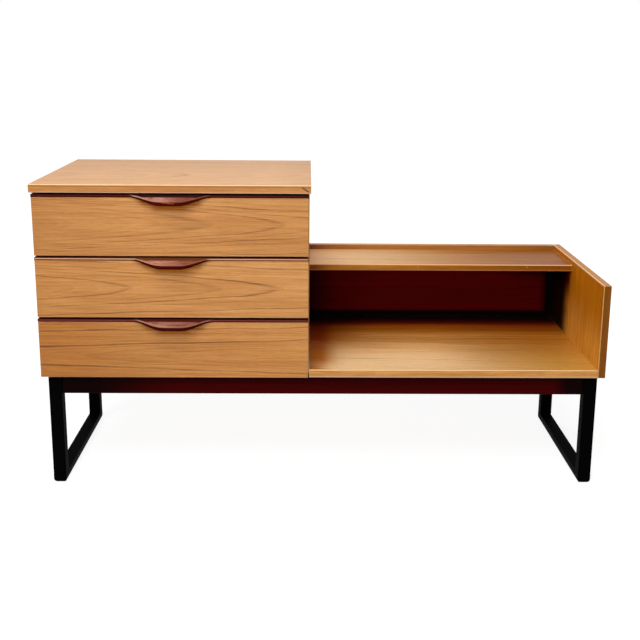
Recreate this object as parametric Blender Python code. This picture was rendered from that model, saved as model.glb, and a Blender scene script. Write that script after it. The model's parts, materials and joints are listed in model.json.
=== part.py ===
"""Low storage bench: a chest of three drawers beside an open bay, on two sled frames.

Metres, +Z up, front towards -Y. The origin is on the ground, under the middle of the whole piece.
"""
import math

import bmesh
import bpy
from mathutils import Vector

# Overall sizes
WIDTH = 1.180               # left end of the chest top to the outer face of the end panel
DEPTH = 0.425               # face of the drawer fronts to the back
HEIGHT = 0.646              # ground to the chest top
BASE_HEIGHT = 0.243         # ground to the underside of the cabinet
BENCH_HEIGHT = 0.442        # ground to the top of the end panel and the back rail
CHEST_WIDTH = 0.563         # length of the chest top

# Cabinet boards
TOP_THICKNESS = 0.017
TOP_OVERHANG = 0.003        # chest top beyond the chest's sides, at each end
PANEL_THICKNESS = 0.016     # chest sides and end panel
FLOOR_THICKNESS = 0.017     # bay floor and chest base
FLOOR_SETBACK = 0.002       # bay floor and end panel behind the face of the drawer fronts
SHELF_THICKNESS = 0.0145
SHELF_DEPTH = 0.165
SHELF_DROP = 0.0115         # shelf below the top of the back rail
BACK_RAIL_THICKNESS = 0.016
BACK_THICKNESS = 0.004      # thin back panels
BACK_LAP = 0.008            # width of the rebate that a back panel lies in
EASED_EDGE = 0.0008         # edges of veneered boards and rails

# Drawers
DRAWER_NAMES = ("lower_drawer", "middle_drawer", "upper_drawer")
FRONT_THICKNESS = 0.017
FRONT_STANDOFF = 0.0005     # closed drawer front to the chest's front edges
FRONT_GAP = 0.0035          # between two drawer fronts
FRONT_TOP_GAP = 0.003       # between the upper front and the chest top
FRONT_SIDE_INSET = 0.0015   # ends of the fronts within the chest's outer faces
BOX_CLEARANCE = 0.003       # lower drawer box above the chest base
BOX_TOP_DROP = 0.0155       # drawer box below the top of its front
BOX_REAR_SPACE = 0.039      # drawer box to the back panel
BOX_WALL = 0.012
BOX_BACK_DROP = 0.006       # drawer back below the drawer sides
BOTTOM_THICKNESS = 0.004
BOTTOM_RISE = 0.008         # drawer bottom above the lower edge of the sides
BOTTOM_LAP = 0.005          # drawer bottom into the grooves of the sides
RUNNER_WIDTH = 0.010
RUNNER_HEIGHT = 0.014
RUNNER_INSET = 0.004        # runner behind the chest's front edges
GROOVE_DEPTH = 0.006        # runner groove in a drawer side
GROOVE_RISE = 0.036         # runner groove above the lower edge of a drawer side
RUNNER_PLAY = 0.0004        # running clearance of a runner in its groove

# Pulls: a strip on the top edge of each front, which swells into a lip
STRIP_HEIGHT = 0.0055
STRIP_PROUD = 0.001         # strip in front of the drawer front
STRIP_EDGE = 0.0012         # rounded front edges of the strip
PULL_LENGTH = 0.176
PULL_REACH = 0.022          # face of the lip in front of the drawer front
PULL_CREST_ROUND = 0.0015   # rounded upper edge of the lip
PULL_CREST_DROP = 0.0112    # upper edge of the lip below the strip's top
PULL_DEPTH = 0.0195         # lower edge of the lip below the strip's top
PULL_LIP = 0.006            # thickness of the lip in front of the finger hollow
PULL_CEILING = 0.0115       # top of the finger hollow below the strip's top
PULL_FLAT = 0.19            # share of the half length before the lip dies away
PULL_COVE_RUN = 0.004       # how far back on the plain strip's top the cove fades out
PULL_SECTIONS = 28          # steps along the lip
COVE_STEPS = 6              # steps round a section: the cove over the lip,
EDGE_STEPS = 3              # the lip's upper edge,
LIP_STEPS = 6               # its lower edge
HOLLOW_STEPS = 5            # and the finger hollow

# Base: two sled frames, two long rails and corner blocks
SLED_FRONT_SETBACK = 0.012  # sled frames behind the face of the drawer fronts
SLED_REAR_SETBACK = 0.045   # sled frames in front of the back
SLED_INSET = 0.013          # sled frames within the cabinet's ends
LEG_WIDTH = 0.027
LEG_DEPTH = 0.024
SKID_HEIGHT = 0.0215
SKID_ROUND = 0.010          # rounded lower edges of the ground runner
BEARER_HEIGHT = 0.030
BASE_RAIL_HEIGHT = 0.041
BASE_RAIL_THICKNESS = 0.020
BASE_RAIL_SETBACK = 0.004   # rails behind the outer faces of the legs
CORNER_BLOCK = 0.045
CORNER_BLOCK_HEIGHT = 0.030

TOUCH = 0.0003              # gap between pieces that touch
CUT_PAST = 0.005            # how far a cutter reaches past the board it cuts

# Planes that several pieces share
LEFT = -WIDTH / 2
RIGHT = WIDTH / 2
FRONT = (PULL_REACH - DEPTH) / 2
BACK = FRONT + DEPTH
TOP_UNDERSIDE = HEIGHT - TOP_THICKNESS
FLOOR_TOP = BASE_HEIGHT + FLOOR_THICKNESS
SHELF_TOP = BENCH_HEIGHT - SHELF_DROP
SHELF_UNDERSIDE = SHELF_TOP - SHELF_THICKNESS
CHEST_LEFT = LEFT + TOP_OVERHANG
CHEST_RIGHT = LEFT + CHEST_WIDTH - TOP_OVERHANG
CHEST_INNER_LEFT = CHEST_LEFT + PANEL_THICKNESS
CHEST_INNER_RIGHT = CHEST_RIGHT - PANEL_THICKNESS
CHEST_FRONT = FRONT + FRONT_THICKNESS + FRONT_STANDOFF
BAY_LEFT = CHEST_RIGHT + TOUCH
BAY_RIGHT = RIGHT - PANEL_THICKNESS - TOUCH
BAY_FRONT = FRONT + FLOOR_SETBACK
BACK_FACE = BACK - BACK_THICKNESS - TOUCH
BACK_TOP = SHELF_UNDERSIDE + BACK_LAP - TOUCH


# Finishes

def finish(name, colour, roughness):
    material = bpy.data.materials.new(name)
    material.use_nodes = True
    shader = material.node_tree.nodes["Principled BSDF"]
    shader.inputs["Base Color"].default_value = (*colour, 1.0)
    shader.inputs["Roughness"].default_value = roughness
    shader.inputs["Metallic"].default_value = 0.0
    material.diffuse_color = (*colour, 1.0)
    return material


def make_finishes():
    return {
        "teak": finish("teak_veneer", (0.47, 0.25, 0.10), 0.45),
        "pull": finish("dark_hardwood", (0.12, 0.03, 0.02), 0.35),
        "rail": finish("red_brown_stain", (0.07, 0.014, 0.010), 0.45),
        "black": finish("ebonised_wood", (0.012, 0.011, 0.010), 0.45),
        "drawer": finish("drawer_timber", (0.55, 0.38, 0.22), 0.60),
        "thin": finish("drawer_bottom_board", (0.35, 0.22, 0.12), 0.65),
    }


# Shapes

def body(name, place):
    """An empty that carries the pieces of one moving body, on the body's line of travel."""
    empty = bpy.data.objects.new(name, None)
    empty.location = place
    bpy.context.scene.collection.objects.link(empty)
    return empty


def piece(name, shape, carrier, material):
    """A named object from a shape in world places, with its origin in the middle of the shape."""
    low = Vector([min(vert.co[axis] for vert in shape.verts) for axis in range(3)])
    high = Vector([max(vert.co[axis] for vert in shape.verts) for axis in range(3)])
    middle = (low + high) / 2
    bmesh.ops.translate(shape, verts=shape.verts, vec=-middle)
    bmesh.ops.recalc_face_normals(shape, faces=shape.faces)
    mesh = bpy.data.meshes.new(name)
    shape.to_mesh(mesh)
    shape.free()
    obj = bpy.data.objects.new(name, mesh)
    obj.parent = carrier
    obj.location = middle - carrier.location
    if material:
        mesh.materials.append(material)
    bpy.context.scene.collection.objects.link(obj)
    return obj


def box_shape(x, y, z):
    shape = bmesh.new()
    corners = [[shape.verts.new((across, along, up)) for across in x for along in y] for up in z]
    lower, upper = corners
    order = (0, 1, 3, 2)
    shape.faces.new([lower[i] for i in order])
    shape.faces.new([upper[i] for i in order])
    for here, there in zip(order, order[1:] + order[:1]):
        shape.faces.new((lower[here], lower[there], upper[there], upper[here]))
    return shape


def extruded_shape(outline, place, span):
    """An outline of two-dimensional points, put in space by place(a, b, run), run over a span."""
    shape = bmesh.new()
    ends = [[shape.verts.new(place(a, b, run)) for a, b in outline] for run in span]
    near, far = ends
    shape.faces.new(near)
    shape.faces.new(far)
    for here in range(len(outline)):
        there = (here + 1) % len(outline)
        shape.faces.new((near[here], near[there], far[there], far[here]))
    return shape


def board(name, x, y, z, carrier, material):
    """A plain board with eased edges."""
    obj = piece(name, box_shape(x, y, z), carrier, material)
    bevel = obj.modifiers.new("eased_edges", "BEVEL")
    bevel.width = EASED_EDGE
    bevel.segments = 1
    bevel.limit_method = "ANGLE"
    return obj


def rebate(obj, x, z, carrier):
    """Cut the seat of a back panel into the rear edge of a board."""
    cutter = piece(obj.name + "_rebate", box_shape(x, (BACK_FACE, BACK + CUT_PAST), z), carrier, None)
    cutter.hide_render = True
    cutter.display_type = "WIRE"
    cut = obj.modifiers.new("rebate", "BOOLEAN")
    cut.operation = "DIFFERENCE"
    cut.solver = "EXACT"
    cut.object = cutter


# Cabinet

def make_chest(cabinet, finishes):
    teak = finishes["teak"]
    depth = (CHEST_FRONT, BACK)
    height = (BASE_HEIGHT, TOP_UNDERSIDE - TOUCH)
    full_height = (BASE_HEIGHT - CUT_PAST, TOP_UNDERSIDE + CUT_PAST)
    board("top_panel", (LEFT, LEFT + CHEST_WIDTH), (FRONT, BACK), (TOP_UNDERSIDE, HEIGHT), cabinet, teak)
    left = board("left_side_panel", (CHEST_LEFT, CHEST_INNER_LEFT), depth, height, cabinet, teak)
    rebate(left, (CHEST_INNER_LEFT - BACK_LAP, CHEST_INNER_LEFT + CUT_PAST), full_height, cabinet)
    right = board("partition_panel", (CHEST_INNER_RIGHT, CHEST_RIGHT), depth, height, cabinet, teak)
    rebate(right, (CHEST_INNER_RIGHT - CUT_PAST, CHEST_INNER_RIGHT + BACK_LAP), full_height, cabinet)
    inner = (CHEST_INNER_LEFT + TOUCH, CHEST_INNER_RIGHT - TOUCH)
    board("chest_base_board", inner, (CHEST_FRONT, BACK_FACE), (BASE_HEIGHT, FLOOR_TOP), cabinet, teak)
    lapped = (CHEST_INNER_LEFT - BACK_LAP + TOUCH, CHEST_INNER_RIGHT + BACK_LAP - TOUCH)
    back = box_shape(lapped, (BACK_FACE + TOUCH, BACK), height)
    piece("chest_back_panel", back, cabinet, finishes["rail"])


def make_bay(cabinet, finishes):
    teak = finishes["teak"]
    bay = (BAY_LEFT, BAY_RIGHT)
    board("bench_floor", bay, (BAY_FRONT, BACK_FACE), (BASE_HEIGHT, FLOOR_TOP), cabinet, teak)
    end_inner = RIGHT - PANEL_THICKNESS
    end_height = (BASE_HEIGHT, BENCH_HEIGHT)
    end = board("end_panel", (end_inner, RIGHT), (BAY_FRONT, BACK), end_height, cabinet, teak)
    seat_height = (BASE_HEIGHT - CUT_PAST, BACK_TOP + TOUCH)
    rebate(end, (end_inner - CUT_PAST, end_inner + BACK_LAP), seat_height, cabinet)
    rail_front = BACK - BACK_RAIL_THICKNESS
    shelf_back = rail_front - TOUCH
    shelf_depth = (shelf_back - SHELF_DEPTH, shelf_back)
    board("rear_shelf", bay, shelf_depth, (SHELF_UNDERSIDE, SHELF_TOP), cabinet, teak)
    rail = board("back_rail", bay, (rail_front, BACK), (SHELF_UNDERSIDE, BENCH_HEIGHT), cabinet, teak)
    past_ends = (BAY_LEFT - CUT_PAST, BAY_RIGHT + CUT_PAST)
    rebate(rail, past_ends, (SHELF_UNDERSIDE - CUT_PAST, BACK_TOP + TOUCH), cabinet)
    lapped = (BAY_LEFT, end_inner + BACK_LAP - TOUCH)
    back = box_shape(lapped, (BACK_FACE + TOUCH, BACK), (BASE_HEIGHT, BACK_TOP))
    piece("bench_back_panel", back, cabinet, finishes["rail"])


# Base

def make_sled(side, inner_sign, cabinet, finishes):
    """One closed frame: a ground runner, two legs that stand on it and a bearer between their tops."""
    black = finishes["black"]
    outer = LEFT + TOP_OVERHANG + SLED_INSET if inner_sign > 0 else RIGHT - SLED_INSET
    x = sorted((outer, outer + inner_sign * LEG_WIDTH))
    front = FRONT + SLED_FRONT_SETBACK
    back = BACK - SLED_REAR_SETBACK
    skid = box_shape(x, (front, back), (0.0, SKID_HEIGHT))
    lower_edges = [edge for edge in skid.edges if all(vert.co.z < TOUCH for vert in edge.verts)]
    bmesh.ops.bevel(skid, geom=lower_edges, offset=SKID_ROUND, segments=4, profile=0.5, affect="EDGES")
    piece(side + "_sled_runner", skid, cabinet, black)
    leg_height = (SKID_HEIGHT + TOUCH, BASE_HEIGHT - TOUCH)
    board(side + "_front_leg", x, (front, front + LEG_DEPTH), leg_height, cabinet, black)
    board(side + "_rear_leg", x, (back - LEG_DEPTH, back), leg_height, cabinet, black)
    bearer_depth = (front + LEG_DEPTH + TOUCH, back - LEG_DEPTH - TOUCH)
    bearer_height = (BASE_HEIGHT - TOUCH - BEARER_HEIGHT, BASE_HEIGHT - TOUCH)
    board(side + "_sled_bearer", x, bearer_depth, bearer_height, cabinet, black)
    return outer + inner_sign * (LEG_WIDTH + TOUCH)


def make_base(cabinet, finishes):
    left = make_sled("left", 1, cabinet, finishes)
    right = make_sled("right", -1, cabinet, finishes)
    stained = finishes["rail"]
    height = (BASE_HEIGHT - TOUCH - BASE_RAIL_HEIGHT, BASE_HEIGHT - TOUCH)
    front_face = FRONT + SLED_FRONT_SETBACK + BASE_RAIL_SETBACK
    rear_face = BACK - SLED_REAR_SETBACK - BASE_RAIL_SETBACK
    front = (front_face, front_face + BASE_RAIL_THICKNESS)
    rear = (rear_face - BASE_RAIL_THICKNESS, rear_face)
    board("front_base_rail", (left, right), front, height, cabinet, stained)
    board("rear_base_rail", (left, right), rear, height, cabinet, stained)
    block_height = (BASE_HEIGHT - TOUCH - CORNER_BLOCK_HEIGHT, BASE_HEIGHT - TOUCH)
    for end, x, inward in (("left", left, 1), ("right", right, -1)):
        for row, y, behind in (("front", front[1] + TOUCH, 1), ("rear", rear[0] - TOUCH, -1)):
            corner = (x + inward * TOUCH, y)
            along = (corner[0] + inward * CORNER_BLOCK, y)
            across = (corner[0], y + behind * CORNER_BLOCK)
            block = extruded_shape((corner, along, across), lambda a, b, run: (a, b, run), block_height)
            piece(f"{row}_{end}_corner_block", block, cabinet, finishes["drawer"])


# Drawers

def lip_share(along):
    """How full the lip is at a place along it, from 1 around the middle to 0 at either end."""
    run = max(abs(along) - PULL_FLAT, 0.0) / (1 - PULL_FLAT)
    return (1 + math.cos(math.pi * run)) / 2


def arc(centre, radii, start, end, steps):
    """Points of an elliptic arc as reach and height, without its last point. Turns are in degrees."""
    turns = [math.radians(start + (end - start) * step / steps) for step in range(steps)]
    return [(centre[0] + radii[0] * math.cos(turn), centre[1] + radii[1] * math.sin(turn)) for turn in turns]


def strip_outline():
    """Cross-section of the plain strip: along its top, over its front edges and back underneath."""
    centre = STRIP_PROUD - STRIP_EDGE
    edge = (STRIP_EDGE, STRIP_EDGE)
    low = STRIP_EDGE - STRIP_HEIGHT
    top = [(centre - PULL_COVE_RUN * (1 - step / COVE_STEPS), 0.0) for step in range(COVE_STEPS)]
    front = arc((centre, -STRIP_EDGE), edge, 90, 0, EDGE_STEPS) + [(STRIP_PROUD, -STRIP_EDGE)]
    under = arc((centre, low), edge, 0, -30, LIP_STEPS) + arc((centre, low), edge, -30, -60, HOLLOW_STEPS)
    return top + front + under + arc((centre, low), edge, -60, -90, 1) + [(centre, -STRIP_HEIGHT)]


def lip_outline():
    """The same points where the lip is fullest: down a cove, over the lip and up into the finger hollow."""
    seat = STRIP_PROUD / 2
    crest = PULL_REACH - PULL_CREST_ROUND
    shoulder = -PULL_CREST_DROP - PULL_CREST_ROUND
    lip_low = PULL_LIP / 2 - PULL_DEPTH
    hollow = PULL_REACH - PULL_LIP - seat
    cove = arc((crest, 0.0), (crest - seat, PULL_CREST_DROP), 180, 270, COVE_STEPS)
    front = arc((crest, shoulder), (PULL_CREST_ROUND, PULL_CREST_ROUND), 90, 0, EDGE_STEPS)
    front.append((PULL_REACH, shoulder))
    lip = arc((PULL_REACH - PULL_LIP / 2, lip_low), (PULL_LIP / 2, PULL_LIP / 2), 0, -180, LIP_STEPS)
    ceiling = arc((seat, lip_low), (hollow, -lip_low - PULL_CEILING), 0, 90, HOLLOW_STEPS)
    return cove + front + lip + ceiling + [(seat, -PULL_CEILING), (seat, -STRIP_HEIGHT)]


def pull_shape(x, face, top):
    """The whole pull as sections along it, each a mix of the plain strip and the full lip."""
    middle = (x[0] + x[1]) / 2
    back = [(-FRONT_THICKNESS, -STRIP_HEIGHT), (-FRONT_THICKNESS, 0.0)]
    places = [(x[0], 0.0)]
    for step in range(PULL_SECTIONS + 1):
        along = 2 * step / PULL_SECTIONS - 1
        places.append((middle + along * PULL_LENGTH / 2, lip_share(along)))
    places.append((x[1], 0.0))
    pairs = list(zip(strip_outline(), lip_outline()))
    shape = bmesh.new()
    rings = []
    for across, share in places:
        section = [tuple(a + (b - a) * share for a, b in zip(plain, full)) for plain, full in pairs] + back
        rings.append([shape.verts.new((across, face - reach, top + height)) for reach, height in section])
    for near, far in zip(rings, rings[1:]):
        for here in range(len(near)):
            there = (here + 1) % len(near)
            shape.faces.new((near[here], near[there], far[there], far[here]))
    shape.faces.new(rings[0])
    shape.faces.new(rings[-1])
    return shape


def side_outline(outer, inward, low, high):
    """Cross-section of a drawer side: a board with a runner groove outside and a bottom groove inside."""
    groove_low = low + GROOVE_RISE
    groove_high = groove_low + RUNNER_HEIGHT + 2 * RUNNER_PLAY
    slot_low = low + BOTTOM_RISE
    slot_high = slot_low + BOTTOM_THICKNESS + 2 * TOUCH
    inner = outer + inward * BOX_WALL
    groove = outer + inward * GROOVE_DEPTH
    slot = inner - inward * BOTTOM_LAP
    outer_line = ((outer, high), (outer, groove_high), (groove, groove_high), (groove, groove_low),
                  (outer, groove_low), (outer, low))
    inner_line = ((inner, low), (inner, slot_low), (slot, slot_low), (slot, slot_high),
                  (inner, slot_high), (inner, high))
    return outer_line + inner_line


def make_drawer(name, front_low, front_high, cabinet, finishes):
    x = (CHEST_LEFT + FRONT_SIDE_INSET, CHEST_RIGHT - FRONT_SIDE_INSET)
    drawer = body(name, ((x[0] + x[1]) / 2, FRONT, (front_low + front_high) / 2))
    face = (FRONT, FRONT + FRONT_THICKNESS)
    panel_high = front_high - STRIP_HEIGHT - TOUCH
    board(name + "_front", x, face, (front_low, panel_high), drawer, finishes["teak"])
    piece(name + "_pull", pull_shape(x, FRONT, front_high), drawer, finishes["pull"])

    low = front_low + FLOOR_THICKNESS + BOX_CLEARANCE
    high = front_high - BOX_TOP_DROP
    box_front = face[1] + TOUCH
    box_back = BACK - BACK_THICKNESS - BOX_REAR_SPACE
    timber = finishes["drawer"]
    side_gap = TOUCH + RUNNER_WIDTH + RUNNER_PLAY - GROOVE_DEPTH
    runner_low = low + GROOVE_RISE + RUNNER_PLAY
    for side, wall, inward in (("left", CHEST_INNER_LEFT, 1), ("right", CHEST_INNER_RIGHT, -1)):
        outline = side_outline(wall + inward * side_gap, inward, low, high)
        shape = extruded_shape(outline, lambda a, b, run: (a, run, b), (box_front, box_back))
        piece(f"{name}_{side}_side", shape, drawer, timber)
        runner_x = sorted((wall + inward * TOUCH, wall + inward * (TOUCH + RUNNER_WIDTH)))
        runner_z = (runner_low, runner_low + RUNNER_HEIGHT)
        runner_y = (CHEST_FRONT + RUNNER_INSET, box_back)
        board(f"{name}_{side}_runner", runner_x, runner_y, runner_z, cabinet, timber)

    inner = (CHEST_INNER_LEFT + side_gap + BOX_WALL, CHEST_INNER_RIGHT - side_gap - BOX_WALL)
    bottom_low = low + BOTTOM_RISE + TOUCH
    bottom_high = bottom_low + BOTTOM_THICKNESS
    bottom_x = (inner[0] - BOTTOM_LAP + TOUCH, inner[1] + BOTTOM_LAP - TOUCH)
    bottom = box_shape(bottom_x, (box_front, box_back), (bottom_low, bottom_high))
    piece(name + "_bottom", bottom, drawer, finishes["thin"])
    between = (inner[0] + TOUCH, inner[1] - TOUCH)
    back_height = (bottom_high + TOUCH, high - BOX_BACK_DROP)
    board(name + "_back", between, (box_back - BOX_WALL, box_back), back_height, drawer, timber)


def make_drawers(cabinet, finishes):
    count = len(DRAWER_NAMES)
    stack = TOP_UNDERSIDE - FRONT_TOP_GAP - BASE_HEIGHT
    front_height = (stack - (count - 1) * FRONT_GAP) / count
    for place, name in enumerate(DRAWER_NAMES):
        low = BASE_HEIGHT + place * (front_height + FRONT_GAP)
        make_drawer(name, low, low + front_height, cabinet, finishes)


def main():
    for obj in list(bpy.data.objects):
        bpy.data.objects.remove(obj, do_unlink=True)
    finishes = make_finishes()
    cabinet = body("cabinet", (0.0, 0.0, 0.0))
    make_chest(cabinet, finishes)
    make_bay(cabinet, finishes)
    make_base(cabinet, finishes)
    make_drawers(cabinet, finishes)


main()
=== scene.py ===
# %% [markdown]
# # A teak storage bench with three drawers
# The bench is a chest of drawers beside an open bay, on two black sled frames. Its solids come packed
# from the CAD model, already named, in metres and in their places. This script dresses them: it gives
# every board its own veneer, makes finer pulls, adds the small metal that a maker would use, and lights
# the result.

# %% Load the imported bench
import json
import math

import bmesh
import bpy
from mathutils import Matrix, Vector

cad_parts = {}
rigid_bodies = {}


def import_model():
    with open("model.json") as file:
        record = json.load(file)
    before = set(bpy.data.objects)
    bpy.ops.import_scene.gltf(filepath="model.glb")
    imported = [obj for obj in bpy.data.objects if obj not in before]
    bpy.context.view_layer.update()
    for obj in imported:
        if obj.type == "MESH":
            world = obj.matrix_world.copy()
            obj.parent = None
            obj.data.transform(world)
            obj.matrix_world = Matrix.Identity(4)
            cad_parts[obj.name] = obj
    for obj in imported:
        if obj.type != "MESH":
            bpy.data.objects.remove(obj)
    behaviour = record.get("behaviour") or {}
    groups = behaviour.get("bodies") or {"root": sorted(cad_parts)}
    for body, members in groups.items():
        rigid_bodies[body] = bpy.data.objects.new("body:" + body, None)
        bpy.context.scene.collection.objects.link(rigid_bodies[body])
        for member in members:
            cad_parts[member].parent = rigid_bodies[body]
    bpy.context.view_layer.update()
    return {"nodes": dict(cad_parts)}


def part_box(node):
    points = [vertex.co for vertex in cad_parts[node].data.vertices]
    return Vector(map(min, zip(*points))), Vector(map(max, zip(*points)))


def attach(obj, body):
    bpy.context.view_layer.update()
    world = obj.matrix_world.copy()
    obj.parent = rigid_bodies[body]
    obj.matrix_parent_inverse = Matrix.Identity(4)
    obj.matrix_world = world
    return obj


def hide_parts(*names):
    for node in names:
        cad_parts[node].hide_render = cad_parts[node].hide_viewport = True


for leftover in list(bpy.data.objects):
    bpy.data.objects.remove(leftover, do_unlink=True)
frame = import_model()
boards = frame["nodes"]
DRAWERS = ("lower_drawer", "middle_drawer", "upper_drawer")

# %% [markdown]
# ## Camera
# The view was found by lining up the bench's own corners with the photograph. The lens is a mild standard
# one, a little above the chest's top and almost straight in front, tipped down. The vertical shift stands
# for the crop: the bench sits a little lower in the picture than the middle of the lens.

# %% Camera
CAMERA_PLACE = (-0.0333, -2.1044, 0.9205)
CAMERA_YAW = -0.01304
CAMERA_PITCH = -0.22023
CAMERA_ROLL = -0.00740
FOCAL_PIXELS = 962.97
PICTURE_PIXELS = 640
LENS_MIDDLE_ROW = 260.0
SENSOR_WIDTH = 36.0

camera_data = bpy.data.cameras.new("camera")
camera_data.sensor_width = SENSOR_WIDTH
camera_data.lens = FOCAL_PIXELS * SENSOR_WIDTH / PICTURE_PIXELS
camera_data.shift_y = (LENS_MIDDLE_ROW - PICTURE_PIXELS / 2) / PICTURE_PIXELS
camera = bpy.data.objects.new("camera", camera_data)
turn = Matrix.Rotation(CAMERA_YAW, 4, "Z") @ Matrix.Rotation(CAMERA_PITCH, 4, "X")
turn = turn @ Matrix.Rotation(CAMERA_ROLL, 4, "Y") @ Matrix.Rotation(math.pi / 2, 4, "X")
camera.matrix_world = Matrix.Translation(CAMERA_PLACE) @ turn
bpy.context.scene.collection.objects.link(camera)
bpy.context.scene.camera = camera
print("lens mm:", round(camera_data.lens, 2), "shift:", round(camera_data.shift_y, 4))

# %% [markdown]
# ## Small helpers for node trees
# A material here is a tree of nodes. These helpers keep each step to one line: `put` sets a socket to a
# value or links it to another node's output, and `node` adds a node with its inputs. The others add the
# kinds that come up most: `calc` and `vector` for arithmetic, `axes_of` for a place's three numbers,
# `ramp` for a smooth step between two values, `blend` for a mix of two colours and `noise` for stretched
# noise. `start_group` opens a group with named sockets, for what several materials share.

# %% Node helpers
def put(tree, socket, value):
    if isinstance(value, bpy.types.NodeSocket):
        tree.links.new(value, socket)
    elif socket.type == "RGBA":
        socket.default_value = (*value, 1.0)
    else:
        socket.default_value = value


def node(tree, kind, inputs=None, **settings):
    made = tree.nodes.new(kind)
    for name, value in settings.items():
        setattr(made, name, value)
    for name, value in (inputs or {}).items():
        put(tree, made.inputs[name], value)
    return made


def calc(tree, operation, *values):
    made = node(tree, "ShaderNodeMath", operation=operation)
    for socket, value in zip(made.inputs, values):
        put(tree, socket, value)
    return made.outputs[0]


def vector(tree, operation, first, second=(0.0, 0.0, 0.0)):
    made = node(tree, "ShaderNodeVectorMath", {0: first, 1: second}, operation=operation)
    return made.outputs["Value" if operation in ("DOT_PRODUCT", "DISTANCE", "LENGTH") else "Vector"]


def axes_of(tree, place):
    return node(tree, "ShaderNodeSeparateXYZ", {0: place}).outputs


def ramp(tree, value, low, high, start=0.0, end=1.0):
    inputs = {"Value": value, "From Min": low, "From Max": high, "To Min": start, "To Max": end}
    return node(tree, "ShaderNodeMapRange", inputs, interpolation_type="SMOOTHSTEP").outputs[0]


def blend(tree, share, first, second, way="MIX"):
    made = node(tree, "ShaderNodeMix", data_type="RGBA", blend_type=way)
    for place, value in ((0, share), (6, first), (7, second)):
        put(tree, made.inputs[place], value)
    return made.outputs[2]


def noise(tree, place, factors, detail=2.0, rough=0.5):
    inputs = {"Vector": vector(tree, "MULTIPLY", place, factors), "Scale": 1.0, "Detail": detail,
              "Roughness": rough}
    return node(tree, "ShaderNodeTexNoise", inputs).outputs["Fac"]


def start_group(name, inputs, outputs):
    group = bpy.data.node_groups.new(name, "ShaderNodeTree")
    for label, kind, value in inputs:
        socket = group.interface.new_socket(label, in_out="INPUT", socket_type="NodeSocket" + kind)
        socket.default_value = value
    for label, kind in outputs:
        group.interface.new_socket(label, in_out="OUTPUT", socket_type="NodeSocket" + kind)
    taken = group.nodes.new("NodeGroupInput").outputs
    given = group.nodes.new("NodeGroupOutput").inputs
    return group, taken, given


print("node helpers are ready")

# %% [markdown]
# ## Growth lines
# Veneer is sliced from a log, so its dark lines are where the slice cuts the yearly rings. If the slice
# runs along the log at a changing distance from the heart, the rings close in pointed arches. The group
# follows that: the radius of a point is found from how far it lies across from the heart line and from
# how deep the slice is there, which grows with `Taper` along the board. Equal steps of radius are the
# years. Each year has its own darkness, and the lines are faint at the tips of the arches and inside the
# `Quiet` radius. A wave texture would give only straight or round bands, so the radius is worked out with
# plain arithmetic.

# %% Shader group: growth lines
QUICK_SWAY = 0.32
SWAY_SPAN = 4.0
YEAR_SCALE = 0.43
YEAR_UNEVENNESS = 1.8
LATE_START, LATE_PEAK, LATE_END = 0.66, 0.88, 0.99
FAINT = 0.12
TIP_FAINT, TIP_REACH = 0.3, 0.014


def make_growth_lines():
    inputs = (("Place", "Vector", (0, 0, 0)), ("Heart", "Float", 0.0), ("Depth", "Float", 0.0),
              ("Taper", "Float", 0.0), ("Gap", "Float", 0.006), ("Quiet", "Float", 0.0),
              ("Wander", "Float", 0.003), ("Years", "Float", 0.0))
    group, taken, given = start_group("growth_lines", inputs, (("Lines", "Float"), ("Season", "Float")))
    place = axes_of(group, taken["Place"])
    slow = calc(group, "SUBTRACT", noise(group, taken["Place"], (2.5, 9.0, 9.0)), 0.5)
    quick = calc(group, "SUBTRACT", noise(group, taken["Place"], (11.0, 60.0, 60.0)), 0.5)
    sway = calc(group, "MULTIPLY_ADD", quick, QUICK_SWAY, slow)
    sway = calc(group, "MULTIPLY", sway, calc(group, "MULTIPLY", taken["Wander"], SWAY_SPAN))
    across = calc(group, "SUBTRACT", calc(group, "ADD", place[1], sway), taken["Heart"])
    square = calc(group, "MULTIPLY_ADD", across, across, taken["Depth"])
    square = calc(group, "MULTIPLY_ADD", place[0], taken["Taper"], square)
    radius = calc(group, "SQRT", calc(group, "MAXIMUM", square, 0.000001))
    years = calc(group, "ADD", calc(group, "DIVIDE", radius, taken["Gap"]), taken["Years"])
    uneven = node(group, "ShaderNodeTexNoise", {"W": years, "Scale": YEAR_SCALE, "Detail": 0.0},
                  noise_dimensions="1D")
    years = calc(group, "MULTIPLY_ADD", uneven.outputs["Fac"], YEAR_UNEVENNESS, years)
    season = calc(group, "FRACT", years)
    late = calc(group, "MULTIPLY", ramp(group, season, LATE_START, LATE_PEAK),
                ramp(group, season, LATE_PEAK, LATE_END, 1.0, 0.0))
    year = node(group, "ShaderNodeTexWhiteNoise", {"W": calc(group, "FLOOR", years)}, noise_dimensions="1D")
    dark = ramp(group, year.outputs["Value"], 0.15, 0.95, FAINT, 1.0)
    inner = calc(group, "MULTIPLY", taken["Quiet"], 0.75)
    calm = ramp(group, radius, inner, calc(group, "ADD", taken["Quiet"], 0.0005), FAINT, 1.0)
    faint_tips = ramp(group, calc(group, "ABSOLUTE", across), 0.0, TIP_REACH, TIP_FAINT, 1.0)
    strength = calc(group, "MULTIPLY", calc(group, "MULTIPLY", dark, calm), faint_tips)
    put(group, given["Lines"], calc(group, "MULTIPLY", late, strength))
    put(group, given["Season"], season)
    return group


growth_lines = make_growth_lines()
print(growth_lines.name, "nodes:", len(growth_lines.nodes))

# %% [markdown]
# ## Streaks and pores
# Between the growth lines, wood is full of fine marks along the grain: soft streaks of colour, and pores
# that are cut open into short dark dashes. Both are noise that is stretched along the grain. The streaks
# add up three layers, from long and wide to short and thin, and `Cloud` is a slow change of tone over the
# board.

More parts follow.
